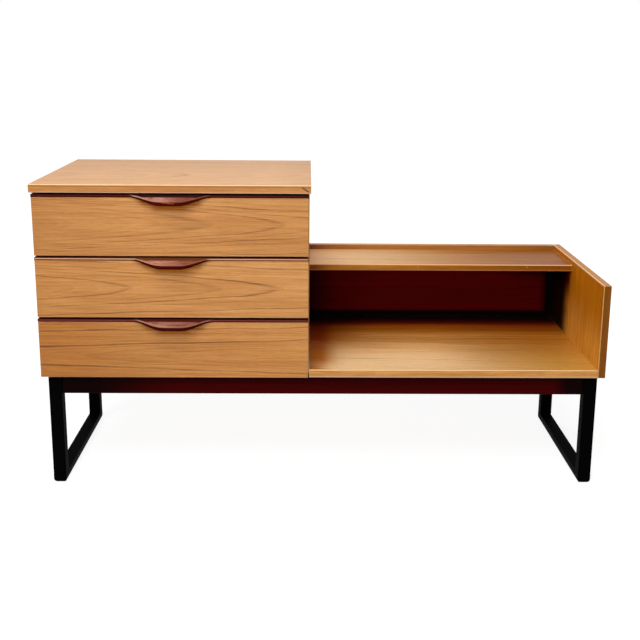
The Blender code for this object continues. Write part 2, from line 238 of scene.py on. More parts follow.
# %% Shader group: streaks and pores
STREAK_LAYERS = (((2.2, 50.0, 50.0), 5.0, 0.40), ((4.0, 220.0, 220.0), 3.0, 0.35),
                 ((14.0, 420.0, 420.0), 2.0, 0.25))


def make_wood_fibre():
    inputs = (("Place", "Vector", (0, 0, 0)), ("Pore Amount", "Float", 0.5))
    outputs = (("Streak", "Float"), ("Pores", "Float"), ("Cloud", "Float"))
    group, taken, given = start_group("wood_fibre", inputs, outputs)
    streak = 0.0
    for factors, detail, weight in STREAK_LAYERS:
        layer = noise(group, taken["Place"], factors, detail, 0.65)
        streak = calc(group, "MULTIPLY_ADD", layer, weight, streak)
    put(group, given["Streak"], ramp(group, streak, 0.36, 0.64))
    dashes = noise(group, taken["Place"], (55.0, 1500.0, 1500.0), 1.0)
    open_pores = ramp(group, dashes, 0.56, 0.70)
    put(group, given["Pores"], calc(group, "MULTIPLY", open_pores, taken["Pore Amount"]))
    put(group, given["Cloud"], noise(group, taken["Place"], (1.6, 7.0, 7.0), 2.0))
    return group


wood_fibre = make_wood_fibre()
print(wood_fibre.name, "nodes:", len(wood_fibre.nodes))

# %% [markdown]
# ## Board edges
# Hands, bags and cloths rub a board first along its edges, where the lacquer thins and the wood looks
# paler. A board is a box, so how near a point is to an edge follows from the box's corners: on the
# surface the smallest of the three distances to the faces is nought, and the middle one is the way to the
# nearest edge. Wear is that nearness broken into patches, for rubbing. Edge is the same, unbroken, along
# every edge, and the teak paints it pale as a painted highlight on the arrises.

# %% Shader group: worn edges
def make_worn_edges():
    inputs = (("Place", "Vector", (0, 0, 0)), ("Low", "Vector", (0, 0, 0)), ("High", "Vector", (1, 1, 1)),
              ("Reach", "Float", 0.0015))
    group, taken, given = start_group("worn_edges", inputs, (("Edge", "Float"), ("Wear", "Float")))
    to_low = vector(group, "SUBTRACT", taken["Place"], taken["Low"])
    to_high = vector(group, "SUBTRACT", taken["High"], taken["Place"])
    a, b, c = axes_of(group, vector(group, "MINIMUM", to_low, to_high))
    lesser = calc(group, "MINIMUM", a, b)
    greater = calc(group, "MAXIMUM", a, b)
    middle = calc(group, "MAXIMUM", lesser, calc(group, "MINIMUM", greater, c))
    edge = ramp(group, middle, 0.0, taken["Reach"], 1.0, 0.0)
    patches = ramp(group, noise(group, taken["Place"], (38.0, 38.0, 38.0), 3.0, 0.6), 0.35, 0.62)
    put(group, given["Edge"], edge)
    put(group, given["Wear"], calc(group, "MULTIPLY", edge, patches))
    return group


worn_edges = make_worn_edges()
print(worn_edges.name, "nodes:", len(worn_edges.nodes))

# %% [markdown]
# ## Lines, nicks and scratches
# A bench of this age has a few small marks, and fine lines where the edge strips meet the faces. Each is
# a line between two points, so a mask for it is the distance to that line, found by sliding along the
# line to the nearest point and measuring from there.

# %% Shader group: scratch
def make_scratch():
    inputs = (("Place", "Vector", (0, 0, 0)), ("First", "Vector", (0, 0, 0)), ("Last", "Vector", (0, 0, 1)),
              ("Width", "Float", 0.001))
    group, taken, given = start_group("scratch", inputs, (("Mask", "Float"),))
    run = vector(group, "SUBTRACT", taken["Last"], taken["First"])
    reach = vector(group, "SUBTRACT", taken["Place"], taken["First"])
    square = vector(group, "DOT_PRODUCT", run, run)
    share = calc(group, "DIVIDE", vector(group, "DOT_PRODUCT", reach, run), square)
    share = calc(group, "MINIMUM", calc(group, "MAXIMUM", share, 0.0), 1.0)
    nearest = node(group, "ShaderNodeVectorMath", {0: run, "Scale": share}, operation="SCALE").outputs[0]
    away = vector(group, "DISTANCE", reach, nearest)
    core = calc(group, "MULTIPLY", taken["Width"], 0.5)
    put(group, given["Mask"], ramp(group, away, core, taken["Width"], 1.0, 0.0))
    return group


scratch = make_scratch()
print(scratch.name, "nodes:", len(scratch.nodes))

# %% [markdown]
# ## Where on a board
# Sun, shade and grime lie in certain places. A place is given by spreads: each is a smooth step along one
# axis, with where it starts and ends and its value at both ends. Several spreads multiplied give a soft
# patch. An image or vertex colours could hold patches as well, but steps need no image size and are easy
# to move.

# %% Spreads
FACE_SKIN = (0.0006, 0.0016)
FRONT_SKIN = (0.0010, 0.0022)


def rises(axis, first, last):
    """A spread from 0 at first to 1 at last."""
    return axis, first, last, 0.0, 1.0


def falls(axis, first, last):
    """A spread from 1 at first to 0 at last."""
    return axis, first, last, 1.0, 0.0


def upper_face(board):
    """A spread that is 1 on a board's upper face and 0 just below it."""
    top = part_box(board)[1].z
    return rises("Z", top - FACE_SKIN[1], top - FACE_SKIN[0])


def front_face(board):
    """A spread that is 1 on a board's front face and 0 just behind it."""
    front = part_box(board)[0].y
    return falls("Y", front + FRONT_SKIN[0], front + FRONT_SKIN[1])


def along_axis(tree, place, spread):
    axis, first, last, start, end = spread
    return ramp(tree, axes_of(tree, place)["XYZ".index(axis)], first, last, start, end)


def where_all(tree, place, spreads):
    """A mask that is 1 only where every one of several spreads is."""
    mask = 1.0
    for spread in spreads:
        mask = calc(tree, "MULTIPLY", along_axis(tree, place, spread), mask)
    return mask


def shade(tree, colour, share, tint):
    """Multiply a colour by a tint where share is 1."""
    return blend(tree, share, colour, tint, "MULTIPLY")


print("upper face of the chest top:", upper_face("top_panel"))

# %% [markdown]
# ## What all woods share
# Every board gets its own material. The object coordinates are counted from the board's own corner and
# turned so that the first axis runs along the grain. Then the shared groups are placed in the material
# with the board's values. The gloss is one number for a board, so it stands on the shader itself.

# %% Start and finish of a wood
GRAIN_ORDERS = {"x_over_z": (0, 2, 1), "x_over_y": (0, 1, 2), "z_over_y": (2, 1, 0), "y_over_z": (1, 2, 0)}
PORE_DEPTH = 0.0004


def grain_place(tree, place, order, start):
    axes = axes_of(tree, vector(tree, "SUBTRACT", place, start))
    first, second, third = (axes[axis] for axis in GRAIN_ORDERS[order])
    return node(tree, "ShaderNodeCombineXYZ", {0: first, 1: second, 2: third}).outputs[0]


def fill_group(tree, group, inputs):
    made = tree.nodes.new("ShaderNodeGroup")
    made.node_tree = group
    for name, value in inputs.items():
        put(tree, made.inputs[name], value)
    return made.outputs


def start_material(name, view_colour):
    material = bpy.data.materials.new(name)
    material.use_nodes = True
    material.diffuse_color = (*view_colour, 1.0)
    tree = material.node_tree
    place = tree.nodes.new("ShaderNodeTexCoord").outputs["Object"]
    return material, tree, tree.nodes["Principled BSDF"], place


def start_wood(name, board, order, view_colour, figure, pores):
    """A board's material with the shared groups in it, and a tone from 0, deep, to 1, light."""
    material, tree, shader, place = start_material(name + "_" + board, view_colour)
    low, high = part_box(board)
    grain = grain_place(tree, place, order, tuple(low))
    rings = fill_group(tree, growth_lines, {"Place": grain, "Wander": 0.004, **figure})
    fibre = fill_group(tree, wood_fibre, {"Place": grain, "Pore Amount": pores})
    edges = fill_group(tree, worn_edges, {"Place": place, "Low": tuple(low), "High": tuple(high)})
    tone = calc(tree, "MULTIPLY_ADD", fibre["Streak"], 0.6, calc(tree, "MULTIPLY", fibre["Cloud"], 0.4))
    return material, tree, shader, place, rings, fibre, edges, tone


def finish_wood(tree, shader, colour, rough, gloss, height, bump_strength):
    put(tree, shader.inputs["Base Color"], colour)
    put(tree, shader.inputs["Roughness"], rough)
    shader.inputs["Specular IOR Level"].default_value = gloss
    bump = node(tree, "ShaderNodeBump",
                {"Height": height, "Strength": bump_strength, "Distance": PORE_DEPTH})
    put(tree, shader.inputs["Normal"], bump.outputs[0])


def draw_mark(tree, place, colour, mark):
    first, last, width, paint = mark
    line = {"Place": place, "First": first, "Last": last, "Width": width}
    return blend(tree, fill_group(tree, scratch, line)["Mask"], colour, paint)


def dress(name, material):
    slots = boards[name].data.materials
    slots.clear()
    slots.append(material)


print("grain orders:", sorted(GRAIN_ORDERS))

# %% [markdown]
# ## Teak veneer
# Each board of teak has a figure of its own, from its own place in the log. The warm colour comes in two
# tones that the streaks mix. Growth lines and pores darken it, the lines broken up by the streaks, and
# the edges are paler, partly from wear and partly as a painted highlight along the arrises. Where a board
# has a `lipping`, a strip glued along its front, that face has its own tint and no growth lines. The
# fading makes the upper face paler where the sun has bleached it, and on the bay floor's front and the
# shelf's left end it is painted light as well. The tints, each with its place, are mostly painted light
# and shade, and `marks` are lines. The satin lacquer is the shader's own gloss. It is rougher where
# pores are open, and quite rough in the `dull` places.

# %% Teak
TEAK_LIGHT = (0.64, 0.290, 0.075)
TEAK_DEEP = (0.475, 0.182, 0.032)
TEAK_LINE = (0.13, 0.032, 0.003)
TEAK_PALE = (0.76, 0.42, 0.18)
TEAK_FADED_LIT = (0.84, 0.52, 0.25)
TONE_SPAN = 0.42
SEASON_DEPTH = 0.10
PORE_DARKNESS = 0.4
BROKEN_SHARE = 0.3
LACQUER_ROUGHNESS = 0.36
PORE_ROUGHNESS = 0.20
STREAK_ROUGHNESS = 0.06
LINE_GROOVE = -0.4


def teak(board, order, lines=0.8, streaks=1.0, gloss=0.4, worn=0.45, fade_and_light=None, lipping=None, tints=(),
         marks=(), dull=()):
    material, tree, shader, place, rings, fibre, edges, tone = start_wood(
        "teak", board, order, TEAK_LIGHT, FIGURES[board], pores=0.6)
    tone = ramp(tree, tone, 0.5 - TONE_SPAN / streaks, 0.5 + TONE_SPAN / streaks)
    colour = blend(tree, tone, TEAK_DEEP, TEAK_LIGHT)
    # Paler upper face: sun-bleaching, and painted light on the bay floor's front and the shelf's left end.
    if fade_and_light:
        colour = blend(tree, where_all(tree, place, (fade_and_light, upper_face(board))), colour, TEAK_FADED_LIT)
    colour = blend(tree, calc(tree, "MULTIPLY", rings["Season"], SEASON_DEPTH), colour, TEAK_LINE)
    broken = ramp(tree, fibre["Streak"], 0.1, 0.9, lines, lines * BROKEN_SHARE)
    if lipping:
        front = along_axis(tree, place, front_face(board))
        broken = calc(tree, "MULTIPLY", broken, calc(tree, "SUBTRACT", 1.0, front))
        colour = shade(tree, colour, front, lipping)
    colour = blend(tree, calc(tree, "MULTIPLY", rings["Lines"], broken), colour, TEAK_LINE)
    colour = blend(tree, calc(tree, "MULTIPLY", fibre["Pores"], PORE_DARKNESS), colour, TEAK_LINE)
    # Tints in their places, most of them painted light and shade.
    for spreads, tint in tints:
        colour = shade(tree, colour, where_all(tree, place, spreads), tint)
    # Pale edges: patchy wear, and a pale line along every edge that is a painted highlight.
    rubbed_and_highlit = calc(tree, "MULTIPLY_ADD", edges["Wear"], worn, calc(tree, "MULTIPLY", edges["Edge"], worn))
    colour = blend(tree, rubbed_and_highlit, colour, TEAK_PALE)
    for mark in marks:
        colour = draw_mark(tree, place, colour, mark)
    rough = calc(tree, "MULTIPLY_ADD", fibre["Pores"], PORE_ROUGHNESS, LACQUER_ROUGHNESS)
    rough = calc(tree, "MULTIPLY_ADD", fibre["Streak"], STREAK_ROUGHNESS, rough)
    for spreads in dull:
        rough = calc(tree, "MAXIMUM", rough, where_all(tree, place, spreads))
    pits = calc(tree, "MULTIPLY", fibre["Pores"], -1.0)
    height = calc(tree, "MULTIPLY_ADD", rings["Lines"], LINE_GROOVE, pits)
    finish_wood(tree, shader, colour, rough, gloss, height, bump_strength=0.12)
    return material


print("teak, light and deep:", TEAK_LIGHT, TEAK_DEEP)

# %% [markdown]
# ## Which figure each board shows
# The three drawer fronts carry the veneer's best figure: arches that close towards the right on the upper
# two, and nearly straight lines that open towards the right on the lower one. The top and the upright
# panels show wide arches as well. The floor, shelf, rail and base board are straighter, as from the
# outside of the log: their heart line lies off the board. Heart is measured from the board's lower or
# front edge, and lengths are in metres.

# %% Figures of the veneer
FIGURES = {
    "upper_drawer_front": {"Heart": 0.066, "Taper": 0.0044, "Gap": 0.0058, "Quiet": 0.043, "Years": 0.30},
    "middle_drawer_front": {"Heart": 0.062, "Taper": 0.0036, "Gap": 0.0075, "Quiet": 0.026, "Years": 11.2},
    "lower_drawer_front": {"Heart": 0.046, "Depth": 0.0010, "Taper": -0.0017, "Gap": 0.0036, "Quiet": 0.028,
                           "Years": 47.2},
    "top_panel": {"Heart": 0.15, "Depth": 0.030, "Taper": 0.030, "Gap": 0.009, "Years": 3.0,
                  "Wander": 0.010},
    "bench_floor": {"Heart": -0.10, "Depth": 0.020, "Taper": 0.020, "Gap": 0.009, "Years": 17.0,
                    "Wander": 0.008},
    "rear_shelf": {"Heart": -0.15, "Depth": 0.020, "Taper": 0.024, "Gap": 0.009, "Years": 29.0,
                   "Wander": 0.008},
    "end_panel": {"Heart": 0.27, "Depth": 0.004, "Taper": 0.020, "Gap": 0.0075, "Years": 71.0,
                  "Wander": 0.006},
    "back_rail": {"Heart": -0.20, "Gap": 0.007, "Years": 83.0},
    "chest_base_board": {"Heart": -0.30, "Gap": 0.009, "Years": 41.0, "Wander": 0.008},
    "left_side_panel": {"Heart": 0.21, "Depth": 0.002, "Taper": 0.022, "Gap": 0.0090, "Quiet": 0.03,
                        "Years": 7.0, "Wander": 0.007},
    "partition_panel": {"Heart": 0.16, "Depth": 0.002, "Taper": 0.018, "Gap": 0.0085, "Quiet": 0.02,
                        "Years": 57.0, "Wander": 0.007},
}
for name, order in (("chest_base_board", "x_over_y"), ("left_side_panel", "z_over_y"),
                    ("partition_panel", "z_over_y")):
    dress(name, teak(name, order, lines=0.6, gloss=0.12))
print("figures:", len(FIGURES))

# %% [markdown]
# ## Drawer fronts
# Wear and painted light and shade show on the fronts. The lower edge is paler, partly from wear and
# partly a painted highlight. Under each lip a paler patch is painted light that thins the lip's shadow,
# and close under and beside the lip a darker, warmer patch is painted shade, which takes little shine.
# Each front also changes in tone from one side to the other. All of these are tints with their places,
# measured from the front's left end, its lower edge and the lip.

# %% Dress the drawer fronts
FRONT_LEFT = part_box("lower_drawer_front")[0].x
# Pale lower edge: partly wear, partly a painted highlight.
PALE_LOWER_EDGE = (1.06, 1.12, 1.5)
# Painted light under the lip, then painted shade close under and beside it.
UNDER_LIP_LIGHT = (1.16, 1.12, 1.02)
UNDER_LIP_SHADE = (0.93, 0.68, 0.24)
BESIDE_LIP_SHADE = (0.90, 0.74, 0.42)
FRONT_SHADES = {
    "lower_drawer": (((falls("X", FRONT_LEFT + 0.03, FRONT_LEFT + 0.30),), (0.84, 0.71, 0.42)),
                     ((rises("X", FRONT_LEFT + 0.20, FRONT_LEFT + 0.34),), (1.07, 1.06, 1.06))),
    "middle_drawer": (((rises("X", FRONT_LEFT + 0.10, FRONT_LEFT + 0.26),), (1.12, 1.17, 1.36)),),
    "upper_drawer": (((falls("X", FRONT_LEFT, FRONT_LEFT + 0.18),), (0.89, 0.86, 0.81)),
                     ((rises("X", FRONT_LEFT + 0.12, FRONT_LEFT + 0.24),
                       falls("X", FRONT_LEFT + 0.32, FRONT_LEFT + 0.44)), (1.08, 1.11, 1.20))),
}


def within(middle, inner, outer):
    """Two spreads that together are 1 within inner of the middle and 0 beyond outer, to left and right."""
    return rises("X", middle - outer, middle - inner), falls("X", middle + inner, middle + outer)


for drawer in DRAWERS:
    front = drawer + "_front"
    front_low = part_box(front)[0].z
    pull_low, pull_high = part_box(drawer + "_pull")
    middle = (pull_low.x + pull_high.x) / 2
    lip_low = pull_low.z
    lower_edge = (falls("Z", front_low + 0.0015, front_low + 0.0045),)
    # Places of the painted light and shade round the lip.
    under_lip = (rises("Z", lip_low - 0.045, lip_low - 0.020), *within(middle, 0.03, 0.08))
    close_under = (rises("Z", lip_low - 0.017, lip_low - 0.008), *within(middle, 0.02, 0.055))
    beside_lip = (rises("Z", lip_low - 0.008, lip_low + 0.001), *within(middle, 0.05, 0.075))
    tints = ((lower_edge, PALE_LOWER_EDGE), (under_lip, UNDER_LIP_LIGHT), (close_under, UNDER_LIP_SHADE),
             (beside_lip, BESIDE_LIP_SHADE), *FRONT_SHADES[drawer])
    dress(front, teak(front, "x_over_z", lines=1.0, streaks=1.2, tints=tints,
                      dull=(close_under, beside_lip)))
    print(front, "tints:", len(tints))

# %% [markdown]
# ## Sun, shade and marks
# The chest top, the bay's floor and the shelf are paler on top, partly sun-bleached and partly painted
# light: the floor is paler towards its front and the shelf towards its left end. The bay is dark under the
# shelf. Soft light alone leaves that corner brighter than on the real bench, so part of the light and
# shade is painted in with tints, here and on the chest top, the shelf and the end panel. Along the front
# edges run fine pale lines, painted highlights on the arrises that are partly wear on the lower edges,
# and fine dark lines; there are also a few nicks.

# %% Corners and tones for sun, shade and marks
TOP_LOW, TOP_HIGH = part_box("top_panel")
FLOOR_LOW, FLOOR_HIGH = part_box("bench_floor")
SHELF_LOW, SHELF_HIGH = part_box("rear_shelf")
END_LOW, END_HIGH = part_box("end_panel")
FRONT_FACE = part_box("upper_drawer_front")[0].y
BAY_LEFT = FLOOR_LOW.x
FLOOR_TOP = FLOOR_HIGH.z
SHELF_FRONT = SHELF_LOW.y
SHELF_UNDERSIDE = SHELF_LOW.z
END_INNER = END_LOW.x
DARK_NICK = (0.14, 0.046, 0.010)
PALE_NICK = (0.62, 0.42, 0.24)
# Cream lines are painted highlights on upper arrises; the pink one on lower arrises is wear and highlight.
CREAM_ARRIS_HIGHLIGHT = (0.90, 0.57, 0.30)
EDGE_BROWN = (0.37, 0.150, 0.032)
PINK_EDGE_WEAR_AND_HIGHLIGHT = (0.62, 0.390, 0.260)
PALE_ARRIS_HIGHLIGHT = (0.85, 0.50, 0.25)
SHELF_FOOT = (0.42, 0.185, 0.080)
EDGE_INNER = (0.68, 0.34, 0.12)


def front_line(board, above, width, paint):
    """A mark all along a board's front, this far above its underside."""
    low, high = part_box(board)
    return (low.x, low.y, low.z + above), (high.x, low.y, low.z + above), width, paint


def each_on(face, tints):
    """The same tints, kept to one face."""
    return [((*spreads, face), tint) for spreads, tint in tints]


print("bay from", round(BAY_LEFT, 4), "to", round(END_INNER, 4), "shelf front:", round(SHELF_FRONT, 4))

# %% Chest top
TOP_THICK = TOP_HIGH.z - TOP_LOW.z
# The top's front: painted highlights on its upper and lower arris, a dark line and a nick.
TOP_MARKS = (front_line("top_panel", TOP_THICK - 0.0040, 0.0018, EDGE_BROWN),
             front_line("top_panel", TOP_THICK, 0.0020, CREAM_ARRIS_HIGHLIGHT),
             front_line("top_panel", 0.0, 0.0024, PINK_EDGE_WEAR_AND_HIGHLIGHT),
             ((-0.0440, FRONT_FACE, 0.6412), (-0.0325, FRONT_FACE, 0.6335), 0.0019, DARK_NICK))
# Painted light and shade on the top: darker at the back and both ends, paler at the front.
TOP_LIGHT_AND_SHADE = (((rises("Y", -0.05, TOP_HIGH.y),), (0.93, 0.92, 0.88)),
             ((falls("Y", TOP_LOW.y, TOP_LOW.y + 0.11),), (1.05, 1.06, 1.05)),
             ((rises("X", TOP_HIGH.x - 0.09, TOP_HIGH.x),), (0.90, 0.86, 0.78)),
             ((falls("X", TOP_LOW.x, TOP_LOW.x + 0.16),), (0.95, 0.94, 0.91)))
dress("top_panel", teak("top_panel", "x_over_y", lines=0.55, streaks=1.5, gloss=0.28, worn=0.6,
                        fade_and_light=("X", -0.5, 0.0, 0.20, 0.36), lipping=(0.96, 0.94, 0.98),
                        tints=each_on(upper_face("top_panel"), TOP_LIGHT_AND_SHADE), marks=TOP_MARKS))
print("chest top, tints:", len(TOP_LIGHT_AND_SHADE), "marks:", len(TOP_MARKS))

# %% Bay floor
FLOOR_MARKS = (front_line("bench_floor", FLOOR_HIGH.z - FLOOR_LOW.z, 0.0021, CREAM_ARRIS_HIGHLIGHT),
               front_line("bench_floor", 0.0012, 0.0022, PINK_EDGE_WEAR_AND_HIGHLIGHT))
# Painted shade under the shelf and beside the chest, painted light at the front left, darker to the right.
FLOOR_LIGHT_AND_SHADE = (
    ((rises("Y", SHELF_FRONT + 0.005, SHELF_FRONT + 0.050),), (0.74, 0.52, 0.10)),
    ((rises("Y", SHELF_FRONT + 0.065, SHELF_FRONT + 0.110),), (0.75, 0.18, 0.05)),
    ((rises("Y", SHELF_FRONT + 0.080, SHELF_FRONT + 0.140),), (0.02, 0.01, 0.01)),
    ((rises("Y", -0.06, 0.04), falls("X", BAY_LEFT + 0.02, BAY_LEFT + 0.16)), (0.62, 0.38, 0.07)),
    ((falls("X", BAY_LEFT + 0.024, BAY_LEFT + 0.066), rises("Y", -0.19, -0.13)), (0.62, 0.30, 0.012)),
    ((falls("X", BAY_LEFT + 0.008, BAY_LEFT + 0.060), falls("Y", -0.19, -0.13)), (0.52, 0.28, 0.02)),
    ((rises("X", BAY_LEFT + 0.025, BAY_LEFT + 0.085), falls("X", 0.22, 0.40),
      rises("Y", -0.24, -0.09), falls("Y", -0.05, 0.02)), (1.32, 1.42, 1.55)),
    ((rises("X", 0.20, 0.52),), (0.72, 0.56, 0.20)),
    ((rises("Y", SHELF_FRONT + 0.05, SHELF_FRONT + 0.13), falls("X", BAY_LEFT + 0.03, BAY_LEFT + 0.20)),
     (0.30, 0.08, 0.3)),
)
on_floor = upper_face("bench_floor")
# The painted-shade corner by the chest is made rough, so it takes little shine.
floor_corner = (falls("X", BAY_LEFT + 0.02, BAY_LEFT + 0.08), falls("Y", -0.02, 0.03), on_floor)
dress("bench_floor", teak("bench_floor", "x_over_y", lines=0.40, streaks=2.0, worn=0.6,
                          fade_and_light=falls("Y", SHELF_FRONT - 0.23, SHELF_FRONT), lipping=(1.18, 1.22, 1.10),
                          tints=each_on(on_floor, FLOOR_LIGHT_AND_SHADE), marks=FLOOR_MARKS, dull=(floor_corner,)))
print("bay floor, tints:", len(FLOOR_LIGHT_AND_SHADE), "marks:", len(FLOOR_MARKS))

# %% Shelf and back rail
SHELF_CORNER = (SHELF_HIGH.x, SHELF_FRONT, SHELF_HIGH.z)
SHELF_BACK = SHELF_HIGH.y
REAR_LINE = 0.4305
# Shelf marks: painted highlights on the front and right arrises, a dark foot line, nicks, a pale back line.
SHELF_MARKS = (front_line("rear_shelf", SHELF_HIGH.z - SHELF_LOW.z, 0.0021, PALE_ARRIS_HIGHLIGHT),
               front_line("rear_shelf", 0.0, 0.0022, SHELF_FOOT),
               (SHELF_CORNER, (SHELF_CORNER[0], SHELF_BACK, SHELF_CORNER[2]), 0.0016, PALE_ARRIS_HIGHLIGHT),
               ((0.2185, SHELF_FRONT, 0.4250), (0.2200, SHELF_FRONT, 0.4248), 0.0009, PALE_NICK),
               ((0.4690, SHELF_FRONT, 0.4258), (0.4704, SHELF_FRONT, 0.4256), 0.0009, PALE_NICK),
               ((0.5690, 0.2020, REAR_LINE), (0.5720, 0.2035, REAR_LINE), 0.0016, PALE_NICK),
               ((0.0000, SHELF_BACK, REAR_LINE), (0.5700, SHELF_BACK, REAR_LINE), 0.0012, TEAK_PALE))
# Painted shadow of the chest on the shelf's front edge and on the rail's left end.
CHEST_SHADOW = (0.55, 0.30, 0.20)
beside_chest = falls("X", BAY_LEFT, BAY_LEFT + 0.06)
# Painted shade towards the shelf's right end, and painted light on its top beside the chest.
SHELF_LIGHT_AND_SHADE = (((rises("X", 0.05, 0.55),), (0.57, 0.40, 0.06)),
               ((beside_chest, front_face("rear_shelf")), CHEST_SHADOW),
               ((falls("X", BAY_LEFT, BAY_LEFT + 0.17), upper_face("rear_shelf")), (1.38, 1.25, 1.08)))
dress("rear_shelf", teak("rear_shelf", "x_over_y", lines=0.4, streaks=1.6, gloss=0.1, worn=0.6,
                         fade_and_light=falls("X", 0.0, 0.42), lipping=(0.80, 0.72, 0.34), tints=SHELF_LIGHT_AND_SHADE,
                         marks=SHELF_MARKS))
# Painted shade at the rail's ends.
RAIL_SHADE = (((beside_chest,), CHEST_SHADOW), ((rises("X", 0.42, 0.56),), (0.80, 0.78, 0.40)))
dress("back_rail", teak("back_rail", "x_over_z", lipping=(0.72, 0.62, 0.34), tints=RAIL_SHADE))
print("shelf, tints:", len(SHELF_LIGHT_AND_SHADE), "marks:", len(SHELF_MARKS))

# %% End panel
END_TOP_FRONT = (END_LOW.x, END_LOW.y, END_HIGH.z)
# A painted highlight along the end panel's top edge, and a line up its inner front edge.
END_MARKS = ((END_TOP_FRONT, (END_LOW.x, END_HIGH.y, END_HIGH.z), 0.0030, PALE_ARRIS_HIGHLIGHT),
             (tuple(END_LOW), END_TOP_FRONT, 0.0020, EDGE_INNER))
on_end = falls("X", END_INNER + FACE_SKIN[0], END_INNER + FACE_SKIN[1])
below_shelf = falls("Z", SHELF_UNDERSIDE - 0.001, SHELF_UNDERSIDE + 0.001)
# Painted shade and light on the inner face: the shelf's shadow with a red rim, paler low, darker high.
END_LIGHT_AND_SHADE = (((rises("Y", SHELF_FRONT - 0.01, SHELF_FRONT + 0.07), on_end, below_shelf),
              (0.015, 0.0132, 0.009)),
             ((rises("Y", SHELF_FRONT - 0.006, SHELF_FRONT + 0.030), on_end,
               rises("Z", SHELF_UNDERSIDE - 0.08, SHELF_UNDERSIDE - 0.02), below_shelf),
              (0.25, 0.06, 0.02)),
             ((on_end, falls("Z", FLOOR_TOP + 0.02, FLOOR_TOP + 0.13)), (1.38, 1.36, 0.70)),
             ((on_end, rises("Z", FLOOR_TOP + 0.02, FLOOR_TOP + 0.13)), (0.95, 0.72, 0.09)))
dress("end_panel", teak("end_panel", "z_over_y", lines=0.6, streaks=1.2, gloss=0.08, worn=0.6,
                        lipping=(0.45, 0.34, 0.14), tints=END_LIGHT_AND_SHADE, marks=END_MARKS))
print("teak boards:", sum(material.name.startswith("teak_") for material in bpy.data.materials))

# %% [markdown]
# ## Dark hardwood, stain, ebonised wood and drawer timber
# The remaining woods share one recipe: fibre and growth lines over two tones, with paler edges. They
# differ in colour and gloss. The pulls are dark oiled hardwood. The base rails and the thin backs are
# stained red-brown, the sled frames are black, and the drawer boxes are pale plain timber under a thin
# coat. Each wood is four colours: light, deep, the lines, and the bare wood of worn edges.

# %% Other woods
STAIN = ((0.070, 0.0010, 0.0012), (0.040, 0.0006, 0.0008), (0.014, 0.0003, 0.0004), (0.10, 0.008, 0.006))
BACKS = ((0.165, 0.0016, 0.0022), (0.095, 0.0010, 0.0014), (0.035, 0.0005, 0.0006), (0.18, 0.012, 0.010))
EBONY = ((0.0024, 0.0020, 0.0020), (0.0014, 0.0012, 0.0012), (0.0008, 0.0007, 0.0007),
         (0.012, 0.009, 0.008))
TIMBER = ((0.52, 0.34, 0.18), (0.42, 0.26, 0.13), (0.26, 0.14, 0.06), (0.60, 0.44, 0.28))
THIN = ((0.36, 0.21, 0.10), (0.29, 0.16, 0.07), (0.18, 0.09, 0.035), (0.45, 0.30, 0.17))
DARK = ((0.20, 0.048, 0.026), (0.12, 0.022, 0.012), (0.040, 0.005, 0.003), (0.36, 0.16, 0.11))
STRAIGHT_FIGURE = {"Heart": -0.3, "Gap": 0.005}


def plain_wood(name, board, order, colours, rough, lines=0.5, worn=0.3, gloss=0.3, paint=None):
    light, deep, line, bare = colours
    material, tree, shader, place, rings, fibre, edges, tone = start_wood(
        name, board, order, light, STRAIGHT_FIGURE, pores=0.5)
    colour = blend(tree, tone, deep, light)
    colour = blend(tree, calc(tree, "MULTIPLY", rings["Lines"], lines), colour, line)
    colour = blend(tree, calc(tree, "MULTIPLY", fibre["Pores"], PORE_DARKNESS), colour, line)
    colour = blend(tree, calc(tree, "MULTIPLY", edges["Wear"], worn), colour, bare)
    if paint:
        colour = paint(tree, place, colour)
    rough = calc(tree, "MULTIPLY_ADD", fibre["Streak"], 0.10, rough)
    height = calc(tree, "MULTIPLY_ADD", fibre["Pores"], -1.0, calc(tree, "MULTIPLY", fibre["Streak"], 0.3))
    finish_wood(tree, shader, colour, rough, gloss, height, bump_strength=0.15)
    return material


for side in ("left", "right"):
    for bar, order in (("front_leg", "z_over_y"), ("rear_leg", "z_over_y"), ("sled_runner", "y_over_z"),
                       ("sled_bearer", "y_over_z")):
        name = f"{side}_{bar}"
        dress(name, plain_wood("ebony", name, order, EBONY, 0.45, lines=0.4, worn=0.10, gloss=0.004))
    for row in ("front", "rear"):
        name = f"{row}_{side}_corner_block"
        dress(name, plain_wood("timber", name, "x_over_y", TIMBER, 0.6))
for drawer in DRAWERS:
    for side in ("left", "right"):
        for strip in ("side", "runner"):
            name = f"{drawer}_{side}_{strip}"
            dress(name, plain_wood("timber", name, "y_over_z", TIMBER, 0.55))
    dress(drawer + "_back", plain_wood("timber", drawer + "_back", "x_over_z", TIMBER, 0.55))
    dress(drawer + "_bottom", plain_wood("thin", drawer + "_bottom", "x_over_y", THIN, 0.6))
print("materials:", len(bpy.data.materials))

# %% [markdown]
# ## Base rails and thin backs
# The base rails lie in the shadow of the cabinet, which is deepest at their ends and along the top. The
# back of the bay is darkest along the floor, beside the end panel and beside the drawers, and under the
# shelf at the right. The soft light makes no shade as narrow as this, so it is painted in. Behind, where
# nobody looks, the thin backs are plain brown board.

# %% Dress the rails and backs
RAIL_LOW, RAIL_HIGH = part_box("front_base_rail")
BACK_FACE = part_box("chest_back_panel")[1].y
BEHIND_DEEP = (0.050, 0.016, 0.010)
BEHIND_LIGHT = (0.150, 0.055, 0.030)


